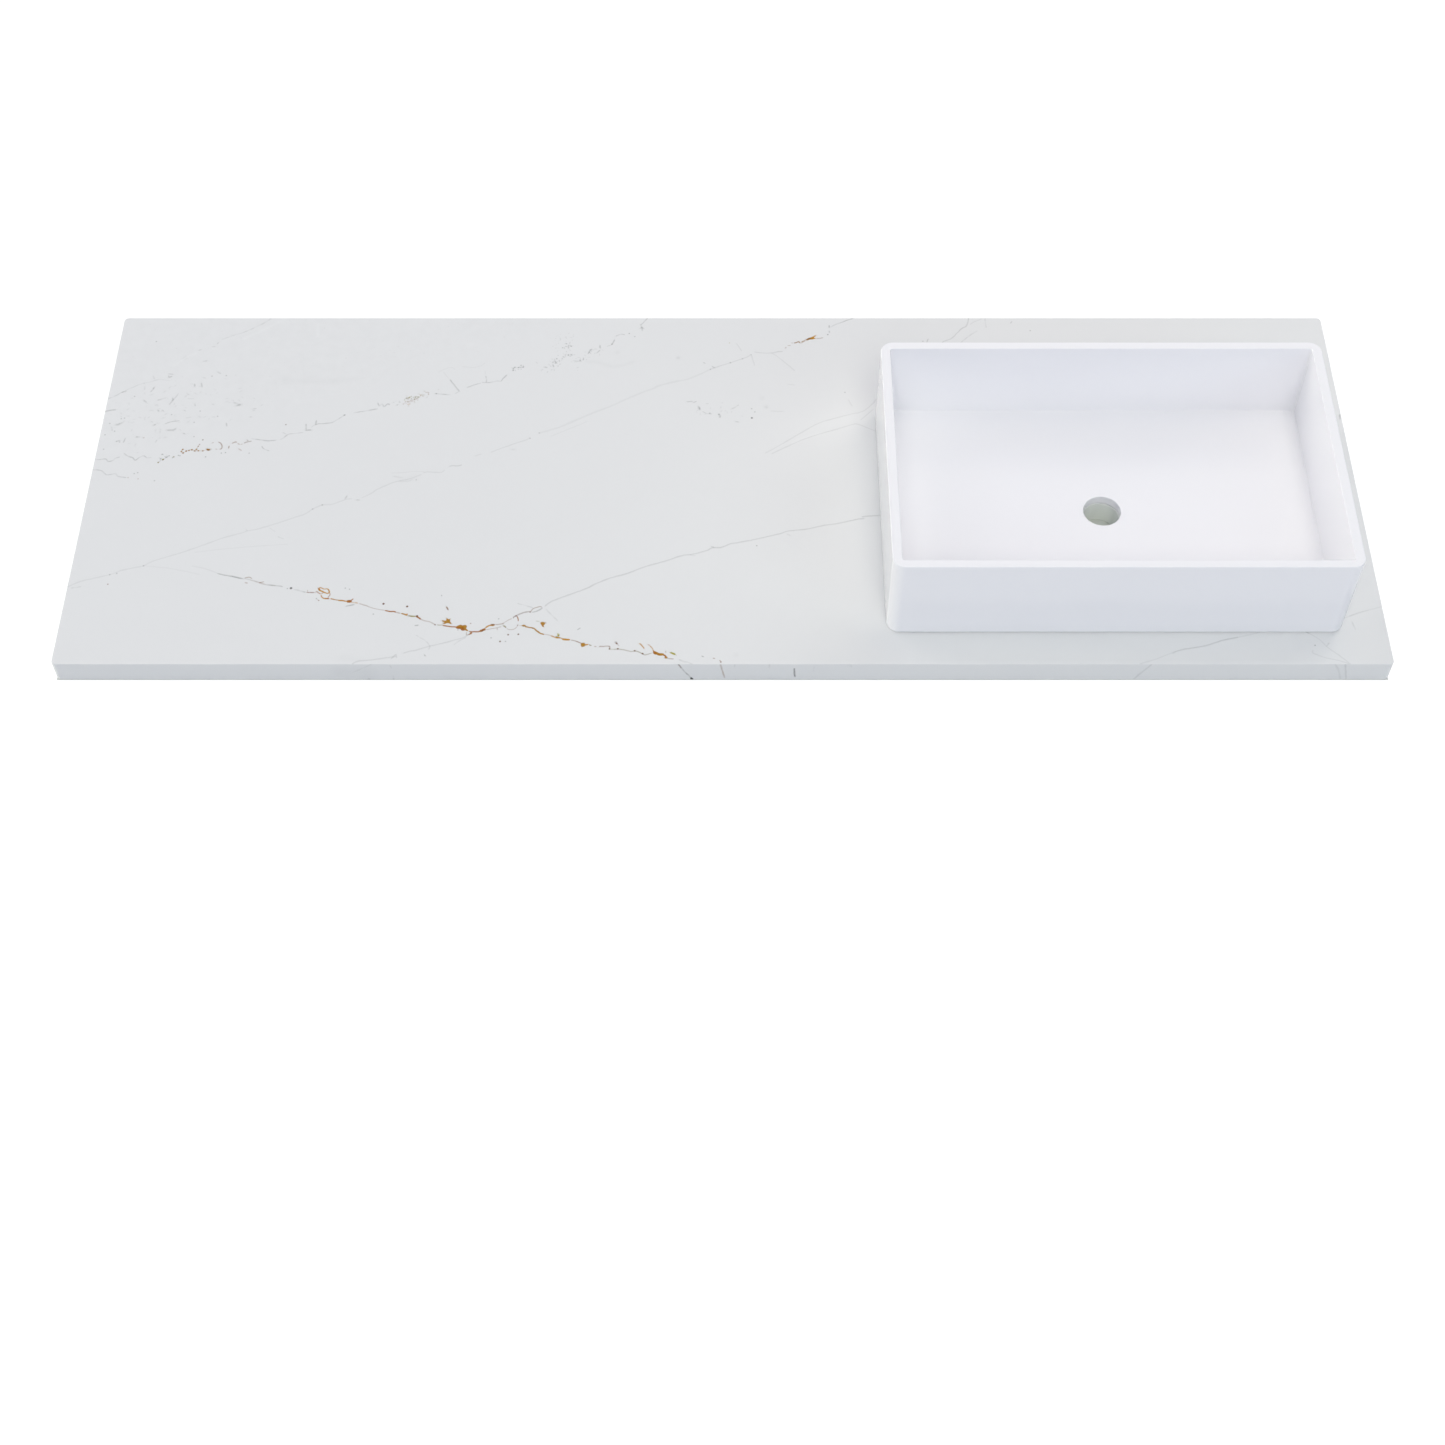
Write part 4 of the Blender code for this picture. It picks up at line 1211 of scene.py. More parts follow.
@dataclass(frozen=True)
class StoneFinish:
    """Polished engineered stone: near white, faintly clouded, with the marks laid into its mesh.

    The tones, and the roughnesses after the first, say how much a cloud or a mark changes the stone.
    The slope and the Y at the middle give the line of the beaded vein, behind which the stone is
    mottled, and left_end holds the two X between which that fades out.
    """

    body: Colour = srgb(228.9, 229.9, 230.9)
    roughness: float = 0.13
    ior: float = 1.52
    attribute: str = "pigment"
    cloud: Cloud = Cloud(0.060, 2.0, detail=3.0)
    mottle: Cloud = Cloud(0.014, 5.0, detail=3.0, rough=0.6)
    grain: Cloud = Cloud(0.0016, 9.0, detail=1.0)
    speck: Cloud = Cloud(0.0042, 13.0, rough=0.7)
    crumble: Cloud = Cloud(0.0011, 17.0)
    ripple: Ripple = Ripple(Cloud(0.020, 21.0), 0.00006, 0.25)
    cloud_tone: float = 0.016
    mottle_tone: float = 0.010
    left_mottle_tone: float = 0.050
    grain_tone: float = 0.022
    speck_tone: float = 0.06
    speck_range: tuple[float, float] = (0.14, 0.26)
    crumble_share: float = 0.9
    mark_roughness: float = 0.10
    cloud_roughness: float = 0.05
    vein_slope: float = 0.41
    vein_at_middle: float = 0.330
    vein_fade: float = 0.030
    left_end: tuple[float, float] = (-0.22, -0.02)

    def material(self) -> bpy.types.Material:
        """Build the material.

        Returns:
            The material.
        """
        shader = Shader("polished_stone")
        place = shader.place()
        across = shader.node("ShaderNodeSeparateXYZ", {}, {0: place})
        along, depth = across, across.other("Y")
        # The mottled part of the stone lies behind the beaded vein, which runs back to the right
        behind_vein = (depth - along * self.vein_slope - self.vein_at_middle).ramp(0.0, self.vein_fade)
        mottled = behind_vein * (1 - along.ramp(*self.left_end))
        cloud = shader.cloud(place, self.cloud)
        mottle = shader.cloud(place, self.mottle) * (self.mottle_tone + mottled * self.left_mottle_tone)
        grain = shader.cloud(place, self.grain) * self.grain_tone
        speck = shader.cloud(place, self.speck).ramp(*self.speck_range) * mottled * self.speck_tone
        body = shader.lighten(self.body, 1 + cloud * self.cloud_tone + mottle + grain - speck)
        settings = {"attribute_name": self.attribute}
        pigment = shader.node("ShaderNodeAttribute", settings, output="Color")
        cover = pigment.other("Alpha") * (1 + self.crumble_share * shader.cloud(place, self.crumble))
        colour = shader.blend(cover, body, pigment)
        rough = self.roughness + self.mark_roughness * cover + self.cloud_roughness * cloud
        normal = shader.bump(place, self.ripple)
        return shader.surface(Base_Color=colour, Roughness=rough, Normal=normal, IOR=self.ior)


@dataclass(frozen=True)
class BasinFinish:
    """Cast white basin: an even, faintly cool white with a smooth gloss."""

    body: Colour = srgb(244.8, 244.6, 248.6)
    roughness: float = 0.03
    ior: float = 1.5
    haze: Cloud = Cloud(0.085, 3.0)
    grain: Cloud = Cloud(0.0022, 7.0, detail=1.0)
    sheen: Cloud = Cloud(0.030, 12.0)
    ripple: Ripple = Ripple(Cloud(0.034, 15.0), 0.00010, 0.06)
    haze_tone: float = 0.010
    grain_tone: float = 0.008
    sheen_roughness: float = 0.02

    def material(self) -> bpy.types.Material:
        """Build the material.

        Returns:
            The material.
        """
        shader = Shader("white_basin")
        place = shader.place()
        haze = shader.cloud(place, self.haze) * self.haze_tone
        grain = shader.cloud(place, self.grain) * self.grain_tone
        body = shader.lighten(self.body, 1 + haze + grain)
        rough = self.roughness + self.sheen_roughness * shader.cloud(place, self.sheen)
        normal = shader.bump(place, self.ripple)
        return shader.surface(Base_Color=body, Roughness=rough, Normal=normal, IOR=self.ior)


@dataclass(frozen=True)
class SealantFinish:
    """Cured silicone: milky grey, satin, with a faint ripple from the nozzle."""

    body: Colour = srgb(205, 207, 206)
    roughness: float = 0.38
    haze: Cloud = Cloud(0.012, 4.0)
    sheen: Cloud = Cloud(0.006, 8.0)
    ripple: Ripple = Ripple(Cloud(0.003, 6.0), 0.0001, 0.4)
    haze_tone: float = 0.10
    sheen_roughness: float = 0.15

    def material(self) -> bpy.types.Material:
        """Build the material.

        Returns:
            The material.
        """
        shader = Shader("milky_silicone")
        place = shader.place()
        body = shader.lighten(self.body, 1 + self.haze_tone * shader.cloud(place, self.haze))
        rough = self.roughness + self.sheen_roughness * shader.cloud(place, self.sheen)
        normal = shader.bump(place, self.ripple)
        return shader.surface(Base_Color=body, Roughness=rough, Normal=normal)


class Recipe(Graph):
    """A Geometry Nodes tree with named sizes, which makes one piece."""

    def __init__(self, name: str) -> None:
        """Start an empty tree.

        Args:
            name: The tree's name, and its piece's.
        """
        super().__init__(bpy.data.node_groups.new(name, "GeometryNodeTree"))
        self.name = name
        self.values: dict[str, float | tuple[float, float, float]] = {}
        self.tree.interface.new_socket("Geometry", in_out="OUTPUT", socket_type="NodeSocketGeometry")
        self.inlet = self.tree.nodes.new("NodeGroupInput")

    def size(self, name: str, value: float | tuple[float, float, float]) -> Wire:
        """Give the tree a named input.

        Args:
            name: What it sets.
            value: A length in metres, or a place.

        Returns:
            The input.
        """
        kind = "NodeSocketVector" if isinstance(value, tuple) else "NodeSocketFloat"
        socket = self.tree.interface.new_socket(name, in_out="INPUT", socket_type=kind)
        self.values[socket.identifier] = value
        return Wire(self, self.inlet.outputs[name])

    def prism(self, width: Wire, depth: Wire, height: Wire | float, corner: Wire, steps: int) -> Wire:
        """Add a closed upright prism with round corners, standing on the origin."""
        return self.raise_up(self.rounded_outline(width, depth, corner, steps), height)

    def raise_up(self, outline: Wire, height: Wire | float) -> Wire:
        """Fill a flat closed curve and pull it up into a closed solid.

        Args:
            outline: The curve.
            height: Height of the solid.

        Returns:
            The solid.
        """
        flat = self.node("GeometryNodeFillCurve", {"mode": "NGONS"}, {"Curve": outline})
        up = self.node("ShaderNodeCombineXYZ", {}, {"Z": height})
        pull = {"Mesh": flat, "Offset": up, "Offset Scale": 1.0, "Individual": False}
        raised = self.node("GeometryNodeExtrudeMesh", {}, pull)
        under = self.node("GeometryNodeFlipFaces", {}, {"Mesh": flat})
        both = self.node("GeometryNodeJoinGeometry", {}, {"Geometry": [raised, under]})
        return self.node("GeometryNodeMergeByDistance", {}, {"Geometry": both, "Distance": MERGE_WITHIN})

    def moved(self, shape: Wire, place: Wire | tuple[float, float, float]) -> Wire:
        """Move a shape."""
        return self.node("GeometryNodeTransform", {}, {"Geometry": shape, "Translation": place})

    def smooth(self, shape: Wire, place: Wire) -> Wire:
        """Shade a shape smooth and move it to its place."""
        shaded = self.node("GeometryNodeSetShadeSmooth", {}, {"Geometry": shape, "Shade Smooth": True})
        return self.moved(shaded, place)

    def rounded_outline(self, width: Wire, depth: Wire, corner: Wire, steps: int) -> Wire:
        """Add a closed flat rectangle round the origin, with round corners.

        Args:
            width: Its size along X.
            depth: Its size along Y.
            corner: Radius of its corners.
            steps: Straight pieces in each corner.

        Returns:
            The curve.
        """
        sides = {"Width": width, "Height": depth}
        rectangle = self.node("GeometryNodeCurvePrimitiveQuadrilateral", {}, sides)
        fillet = {"Curve": rectangle, "Radius": corner, "Count": steps}
        return self.node("GeometryNodeFilletCurve", {"mode": "POLY"}, fillet)

    def cut(self, shape: Wire, cutter: Wire) -> Wire:
        """Cut one solid out of another."""
        solids = {"Mesh 1": shape, "Mesh 2": cutter}
        return self.node("GeometryNodeMeshBoolean", {"operation": "DIFFERENCE", "solver": "EXACT"}, solids)

    def make(self, shape: Wire, material: bpy.types.Material,
             finish: "Sequence[RoundEdges]" = ()) -> bpy.types.Object:
        """Close the tree, run it with its sizes and keep the result as a plain mesh.

        Args:
            shape: What the tree makes.
            material: Its material.
            finish: Edge rounding that follows the tree.

        Returns:
            The finished piece at the origin.
        """
        real = self.node("GeometryNodeRealizeInstances", {}, {"Geometry": shape})
        dressed = self.node("GeometryNodeSetMaterial", {}, {"Geometry": real, "Material": material})
        self.end("NodeGroupOutput", {"Geometry": dressed})
        host_name = self.name + "_host"
        host = add_object(host_name, bpy.data.meshes.new(host_name))
        nodes = host.modifiers.new(self.name, "NODES")
        nodes.node_group = self.tree
        for identifier, value in self.values.items():
            nodes[identifier] = value
        for step in finish:
            step.add_to(host)
        evaluated = host.evaluated_get(bpy.context.evaluated_depsgraph_get())
        mesh = bpy.data.meshes.new_from_object(evaluated)
        bpy.data.objects.remove(host)
        mesh.name = self.name
        return add_object(self.name, mesh)


@dataclass(frozen=True)
class RoundEdges:
    """Rounds the edges that carry a bevel weight, and keeps the flat faces flat in the shading."""

    radius: float
    segments: int = 5
    flat_share: int = 50

    def add_to(self, host: bpy.types.Object) -> None:
        """Put the modifiers on an object.

        Args:
            host: The object.
        """
        bevel = host.modifiers.new("round_edges", "BEVEL")
        bevel.limit_method = "WEIGHT"
        bevel.width = self.radius
        bevel.segments = self.segments
        bevel.use_clamp_overlap = False
        bevel.loop_slide = False
        bevel.harden_normals = False
        normals = host.modifiers.new("flat_faces", "WEIGHTED_NORMAL")
        normals.mode = "FACE_AREA"
        normals.weight = self.flat_share


def attach(piece: bpy.types.Object, node: str) -> bpy.types.Object:
    """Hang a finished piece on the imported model.

    Args:
        piece: The piece, at the origin.
        node: The CAD node that it stands for.

    Returns:
        The piece.
    """
    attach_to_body(piece, ROOT_BODY)
    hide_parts(node)
    LOG.info("%s: %d points, %d faces", piece.name, len(piece.data.vertices), len(piece.data.polygons))
    return piece


@dataclass
class Countertop:
    """The stone slab: flat polished top, eased edges, a drain hole, and its marks in the mesh.

    The arris is the small rounding of the edges. The slant is how far the veins shift sideways on
    their way down an edge, as a share of that way. Guards are loose points beside marks, and the
    clearances, in arrises, keep the underside's points off its borders. An edge shows the front's
    own marks where it turns to the front, on its straight part and below front_start arrises.
    """

    finish: StoneFinish
    drain_centre: Point
    node: str = "countertop_slab"
    name: str = "stone_slab"
    corner_radius: float = 0.0055
    arris: float = 0.0010
    arris_steps: int = 5
    drain_diameter: float = 0.045
    hole_steps: int = 16
    row_height: float = 0.0011
    filler_spacing: float = 0.024
    busy_reach: float = 0.012
    guard_stride: int = 3
    guard_gap: float = 0.0012
    border_stride: int = 2
    border_clearance: int = 2
    under_stride: int = 3
    under_clearance: int = 3
    slant: float = 0.25
    inset: float = 1e-5
    front_seed: int = 41
    front_turn: float = -0.7
    front_start: float = 0.3
    straight_within: float = 1e-4

    def __post_init__(self) -> None:
        """Take the slab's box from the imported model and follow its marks."""
        self.low, self.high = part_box(self.node)
        self.plate = RoundedPlate(self.high.x - self.arris, self.high.y - self.arris,
                                  self.corner_radius - self.arris)
        # A mark's place in the list sets its waves, so new marks go at the end of the last one
        top = [*LONG_VEINS, *GOLDEN_VEIN, *BEADED_VEIN, *RUST_STREAK, *FLECKS]
        self.top_marks = StonePattern(top).traces()
        self.under_marks = StonePattern(LONG_VEINS).traces()
        self.front_marks = StonePattern(FRONT_MARKS, seed=self.front_seed).traces()

    @property
    def hole_radius(self) -> float:
        """Give the radius of the drain hole at the top, where its rounding begins."""
        return self.drain_diameter / 2 + self.arris

    def busy_places(self) -> np.ndarray:
        """List where marks reach the outline.

        Returns:
            Rows of x, y and radius.
        """
        rows = []
        limit = np.array([self.plate.half_x, self.plate.half_y])
        for trace in self.top_marks:
            inside = np.all(np.abs(trace.centre) < limit, axis=1)
            for row in np.nonzero(inside[1:] != inside[:-1])[0]:
                rows.append((*trace.centre[row], self.busy_reach))
        step = self.busy_reach / 2
        for trace in self.front_marks:
            for x in np.arange(trace.centre[:, 0].min(), trace.centre[:, 0].max() + step, step):
                rows.append((x, -self.plate.half_y, step))
        return np.array(rows)

    def drawing(self) -> Drawing:
        """Lay out what the top's triangles follow: its borders, its marks and some loose points.

        Returns:
            The layout.
        """
        drawing = Drawing()
        drawing.lay(self.plate.outline(self.busy_places()), closed=True)
        drawing.lay(circle(self.drain_centre, self.hole_radius, 4 * self.hole_steps), closed=True)
        for trace in self.top_marks:
            middle = drawing.lay(trace.centre)
            if len(middle) == 1:
                drawing.lay(trace.ring(0.0), closed=True)
                continue
            for side in trace.sides():
                rows = drawing.lay(side)
                drawing.lines.extend([(middle[0], rows[0]), (rows[-1], middle[-1])])
        guards = np.vstack([trace.guard(self.guard_stride, self.guard_gap) for trace in self.top_marks])
        drawing.lay(self.well_inside(guards, self.arris), linked=False)
        drawing.lay(self.grid(), linked=False)
        return drawing

    def under_drawing(self, borders: Sequence[np.ndarray]) -> Drawing:
        """Lay out what the underside's triangles follow: the same borders and the long veins.

        Args:
            borders: Points of the top's borders, in order.

        Returns:
            The layout.
        """
        drawing = Drawing()
        for border in borders:
            drawing.lay(border, closed=True)
        for border in borders:
            guard = border - self.outward(border) * self.border_clearance * self.arris
            drawing.lay(self.well_inside(guard[::self.border_stride], self.arris), linked=False)
        clearance = self.under_clearance * self.arris
        for trace in self.under_marks:
            for line in (trace.centre, *trace.sides()):
                drawing.lay(self.well_inside(line[::self.under_stride], clearance), linked=False)
            guards = trace.guard(2 * self.under_stride, self.guard_gap)
            drawing.lay(self.well_inside(guards, clearance), linked=False)
        drawing.lay(self.grid(), linked=False)
        return drawing

    def grid(self) -> np.ndarray:
        """Spread loose points over a face, so that no triangle is very long.

        Returns:
            The points, one row each.
        """
        gap = self.filler_spacing
        x, y = (np.arange(-half + gap, half, gap) for half in (self.plate.half_x, self.plate.half_y))
        return np.column_stack([axis.ravel() for axis in np.meshgrid(x, y)])

    def well_inside(self, points: np.ndarray, gap: float) -> np.ndarray:
        """Keep the points that stay away from the outline and the drain hole.

        Args:
            points: The points, one row each.
            gap: How far away they have to be.

        Returns:
            Those that are kept.
        """
        inner = np.array([self.plate.half_x, self.plate.half_y]) - gap
        inside = np.all(np.abs(points) < inner, axis=1) & self.plate.holds(points)
        away = np.linalg.norm(points - self.drain_centre, axis=1) > self.hole_radius + gap
        return points[inside & away]

    def sheet(self, drawing: Drawing) -> tuple[np.ndarray, np.ndarray, np.ndarray]:
        """Divide a face of the slab.

        Args:
            drawing: What the triangles have to follow.

        Returns:
            Points in the plane, triangles of their rows, anticlockwise, and the row of each laid point.
        """
        points, triangles, place = drawing.triangles()
        middle = points[triangles].mean(axis=1)
        in_hole = inside_arc(middle - self.drain_centre, self.hole_radius, self.hole_steps)
        triangles = triangles[self.plate.holds(middle) & ~in_hole]
        used = np.unique(triangles)
        renumber = np.full(len(points), -1)
        renumber[used] = np.arange(len(used))
        return points[used], renumber[triangles], renumber[place]

    def round_drain(self, border: np.ndarray) -> bool:
        """Say whether a border is the drain hole's."""
        return np.linalg.norm(border - self.drain_centre, axis=1).max() < self.drain_diameter

    def outward(self, border: np.ndarray) -> np.ndarray:
        """Find the direction that leads out of the stone at each point of a border.

        Args:
            border: The border's points.

        Returns:
            One direction for each.
        """
        if not self.round_drain(border):
            return self.plate.outward(border)
        to_middle = self.drain_centre - border
        return to_middle / np.linalg.norm(to_middle, axis=1, keepdims=True)

    @staticmethod
    def loops(triangles: np.ndarray) -> list[list[int]]:
        """Find the borders of a sheet of triangles.

        Args:
            triangles: Rows of three points, anticlockwise.

        Returns:
            Each border's points in order, with the sheet on the left.
        """
        edges = {(int(row[k]), int(row[(k + 1) % 3])) for row in triangles for k in range(3)}
        follow = {start: end for start, end in edges if (end, start) not in edges}
        found = []
        while follow:
            start, point = follow.popitem()
            loop = [start]
            while point != start:
                loop.append(point)
                point = follow.pop(point)
            found.append(loop)
        return found

    def rows_down(self) -> list[tuple[float, float, float, float]]:
        """List the rings from the top's border round the edge to the underside's.

        Returns:
            For each ring the shift outwards, the height, and the outward and upward parts of its normal.
        """
        above = []
        for step in range(self.arris_steps + 1):
            angle = step / self.arris_steps * math.pi / 2
            out, up = math.sin(angle), math.cos(angle)
            above.append((self.arris * out, self.high.z - self.arris * (1 - up), out, up))
        wall = self.high.z - self.low.z - 2 * self.arris
        count = max(1, round(wall / self.row_height))
        heights = (self.high.z - self.arris - wall * row / count for row in range(1, count))
        upright = [(self.arris, height, 1.0, 0.0) for height in heights]
        both_ends = self.low.z + self.high.z
        below = [(shift, both_ends - height, out, -up) for shift, height, out, up in reversed(above)]
        return above + upright + below

    def wall_pigment(self, base: np.ndarray, outward: np.ndarray, height: float) -> np.ndarray:
        """Colour one ring of an edge.

        Args:
            base: Points of the top's border.
            outward: Direction out of the slab at each.
            height: The ring's height.

        Returns:
            Red, green, blue and cover at each point.
        """
        depth = self.high.z - height
        if self.round_drain(base):
            # Below its arris the drain hole's wall takes a paler, greener colour, painted light that lifts
            # the shade in the hole
            return np.tile((*Hue.PAINTED_BORE_LIGHT.linear(), min(1.0, depth / self.arris)), (len(base), 1))
        shift = leftwards(outward) * depth * self.slant
        carried = pigment_at(self.top_marks, base - outward * self.inset + shift)
        straight = np.abs(base[:, 1] + self.plate.half_y) < self.straight_within
        facing = outward[:, 1] < self.front_turn
        on_front = facing & straight & (depth > self.arris * self.front_start)
        if on_front.any():
            face = np.column_stack([base[on_front, 0], np.full(on_front.sum(), height)])
            carried[on_front] = pigment_at(self.front_marks, face)
        return carried

    def build(self) -> bpy.types.Object:
        """Make the slab.

        Returns:
            The finished piece.
        """
        top, top_faces, _ = self.sheet(self.drawing())
        loops = self.loops(top_faces)
        borders = [top[loop] for loop in loops]
        under, under_faces, place = self.sheet(self.under_drawing(borders))
        points = [np.column_stack([top, np.full(len(top), self.high.z)]),
                  np.column_stack([under, np.full(len(under), self.low.z)])]
        normals = [np.tile((0.0, 0.0, 1.0), (len(top), 1)), np.tile((0.0, 0.0, -1.0), (len(under), 1))]
        pigment = [pigment_at(self.top_marks, top), pigment_at(self.under_marks, under)]
        faces = [*top_faces.tolist(), *(under_faces[:, ::-1] + len(top)).tolist()]
        total = len(top) + len(under)
        rings = self.rows_down()
        done = 0
        for loop, base in zip(loops, borders):
            outward = self.outward(base)
            before = np.array(loop)
            under_rows = place[done:done + len(loop)]
            done += len(loop)
            for shift, height, out, up in rings[1:-1]:
                ring = np.arange(total, total + len(loop))
                points.append(np.column_stack([base + outward * shift, np.full(len(loop), height)]))
                normals.append(np.column_stack([outward * out, np.full(len(loop), up)]))
                pigment.append(self.wall_pigment(base, outward, height))
                faces.extend(np.column_stack(
                    [before, ring, np.roll(ring, -1), np.roll(before, -1)]).tolist())
                before = ring
                total += len(loop)
            pigment[1][under_rows] = self.wall_pigment(base, outward, self.low.z)
            last = under_rows + len(top)
            faces.extend(np.column_stack([before, last, np.roll(last, -1), np.roll(before, -1)]).tolist())
        mesh = bpy.data.meshes.new(self.name)
        mesh.from_pydata(np.vstack(points).tolist(), [], faces)
        mesh.shade_smooth()
        layer = mesh.color_attributes.new(self.finish.attribute, "FLOAT_COLOR", "POINT")
        layer.data.foreach_set("color", np.vstack(pigment).astype(np.float32).ravel())
        mesh.normals_split_custom_set_from_vertices(np.vstack(normals).tolist())
        mesh.materials.append(self.finish.material())
        mesh.validate()
        return attach(add_object(self.name, mesh), self.node)


@dataclass
class VesselBasin:
    """The rectangular vessel basin: thin walls, a flat floor and a round drain.

    Edges that bend by more than sharp_angle degrees are rounded. They belong to the drain within
    drain_share of its radius, and to the rim, foot or floor within level_within of its height.
    """

    finish: BasinFinish
    node: str = "vessel_basin"
    name: str = "glazed_basin"
    side_wall: float = 0.0115
    front_wall: float = 0.0110
    floor: float = 0.0120
    corner_radius: float = 0.015
    bowl_corner_radius: float = 0.0030
    drain_diameter: float = 0.045
    rim_rounding: float = 0.0010
    foot_rounding: float = 0.0015
    bowl_floor_fillet: float = 0.0015
    drain_arris: float = 0.0010
    corner_steps: int = 16
    drain_steps: int = 64
    sharp_angle: float = 40.0
    drain_share: float = 1.2
    level_within: float = 1e-4

    def __post_init__(self) -> None:
        """Take the basin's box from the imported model."""
        self.low, self.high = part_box(self.node)

    @property
    def largest_rounding(self) -> float:
        """Give the radius that a full bevel weight stands for."""
        return max(self.rim_rounding, self.foot_rounding, self.bowl_floor_fillet)

    def centre(self) -> Point:
        """Give the middle of the basin, seen from above."""
        return ((self.low.x + self.high.x) / 2, (self.low.y + self.high.y) / 2)

    def build(self) -> bpy.types.Object:
        """Make the basin.

        Returns:
            The finished piece.
        """
        recipe = Recipe(self.name)
        width = recipe.size("Width", self.high.x - self.low.x)
        depth = recipe.size("Depth", self.high.y - self.low.y)
        height = recipe.size("Height", self.high.z - self.low.z)
        side = recipe.size("Side wall", self.side_wall)
        front = recipe.size("Front wall", self.front_wall)
        floor = recipe.size("Floor", self.floor)
        corner = recipe.size("Corner radius", self.corner_radius)
        bowl_corner = recipe.size("Bowl corner radius", self.bowl_corner_radius)
        drain = recipe.size("Drain radius", self.drain_diameter / 2)
        place = recipe.size("Place", (*self.centre(), self.low.z))
        body = recipe.prism(width, depth, height, corner, self.corner_steps)
        inner_width, inner_depth = width - side * 2, depth - front * 2
        bowl = recipe.prism(inner_width, inner_depth, height, bowl_corner, self.corner_steps // 2)
        lift = recipe.node("ShaderNodeCombineXYZ", {}, {"Z": floor})
        shell = recipe.cut(body, recipe.moved(bowl, lift))
        round_line = {"Resolution": self.drain_steps, "Radius": drain}
        hole = recipe.node("GeometryNodeCurvePrimitiveCircle", {}, round_line)
        plug = recipe.moved(recipe.raise_up(hole, height), (0.0, 0.0, -self.floor))
        shell = recipe.cut(shell, plug)
        weighted = self.weigh_edges(recipe, shell, height, floor, drain)
        rounding = [RoundEdges(self.largest_rounding)]
        piece = recipe.make(recipe.smooth(weighted, place), self.finish.material(), rounding)
        return attach(piece, self.node)

    def weigh_edges(self, recipe: Recipe, shell: Wire, height: Wire, floor: Wire, drain: Wire) -> Wire:
        """Give each sharp edge a bevel weight for its own rounding.

        Args:
            recipe: The tree.
            shell: The basin, standing on the origin.
            height: Its height.
            floor: Thickness of its floor.
            drain: Radius of its drain hole.

        Returns:
            The basin with the weights.
        """
        largest = self.largest_rounding
        place = recipe.node("GeometryNodeInputPosition")
        across = recipe.node("ShaderNodeSeparateXYZ", {}, {0: place})
        level = across.other("Z")
        flat = recipe.node("ShaderNodeCombineXYZ", {}, {"X": across, "Y": across.other("Y")})
        reach = recipe.node("ShaderNodeVectorMath", {"operation": "LENGTH"}, {0: flat}, output="Value")
        at_drain = reach < drain * self.drain_share
        at_rim = level > height - self.level_within
        at_foot = level < self.level_within
        at_floor = (level - floor).size() < self.level_within
        wall = 1 - at_drain
        weight = at_rim * (self.rim_rounding / largest) + at_drain * (self.drain_arris / largest)
        weight = weight + wall * at_foot * (self.foot_rounding / largest)
        weight = weight + wall * at_floor * (self.bowl_floor_fillet / largest)
        sharp = recipe.node("GeometryNodeInputMeshEdgeAngle") > math.radians(self.sharp_angle)
        settings = {"data_type": "FLOAT", "domain": "EDGE"}
        named = {"Geometry": shell, "Name": "bevel_weight_edge", "Value": weight * sharp}
        return recipe.node("GeometryNodeStoreNamedAttribute", settings, named)


@dataclass
class SiliconeBead:
    """A pressed bead of silicone that follows a closed line between the basin and the slab.

    The corner radius is the line's, and the bulge is the rounding of the bead's sides, as a share of
    its thickness.
    """

    finish: SealantFinish
    node: str
    name: str
    corner_radius: float
    width: float = 0.006
    bulge: float = 0.49
    corner_steps: int = 12
    bulge_steps: int = 6

    def build(self) -> bpy.types.Object:
        """Make the bead.

        Returns:
            The finished piece.
        """
        low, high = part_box(self.node)
        middle = (low + high) / 2
        recipe = Recipe(self.name)
        long_side = recipe.size("Length between middles", high.x - low.x - self.width)
        short_side = recipe.size("Depth between middles", high.y - low.y - self.width)
        width = recipe.size("Bead width", self.width)
        thickness = recipe.size("Bead thickness", high.z - low.z)
        corner = recipe.size("Corner radius", self.corner_radius)
        place = recipe.size("Place", tuple(middle))
        path = recipe.rounded_outline(long_side, short_side, corner, self.corner_steps)
        bulge = thickness * self.bulge
        profile = recipe.rounded_outline(width, thickness, bulge, self.bulge_steps)
        swept = recipe.node("GeometryNodeCurveToMesh", {}, {"Curve": path, "Profile Curve": profile})
        piece = recipe.make(recipe.smooth(swept, place), self.finish.material())
        return attach(piece, self.node)


@dataclass(frozen=True)
class Lamp:
    """A soft square lamp that lights the object from one side."""

    name: str
    place: tuple[float, float, float]
    size: float
    power: float
    colour: tuple[float, float, float]

    def build(self, aim: Vector) -> None:
        """Hang the lamp.

        Args:
            aim: The point that it is turned towards.
        """
        data = bpy.data.lights.new(self.name, "AREA")
        data.shape = "SQUARE"
        data.size = self.size
        data.energy = self.power
        data.color = self.colour
        lamp = add_object(self.name, data)
        lamp.location = self.place
        lamp.rotation_euler = (aim - lamp.location).to_track_quat("-Z", "Y").to_euler()
        lamp.visible_glossy = False
        lamp.visible_camera = False


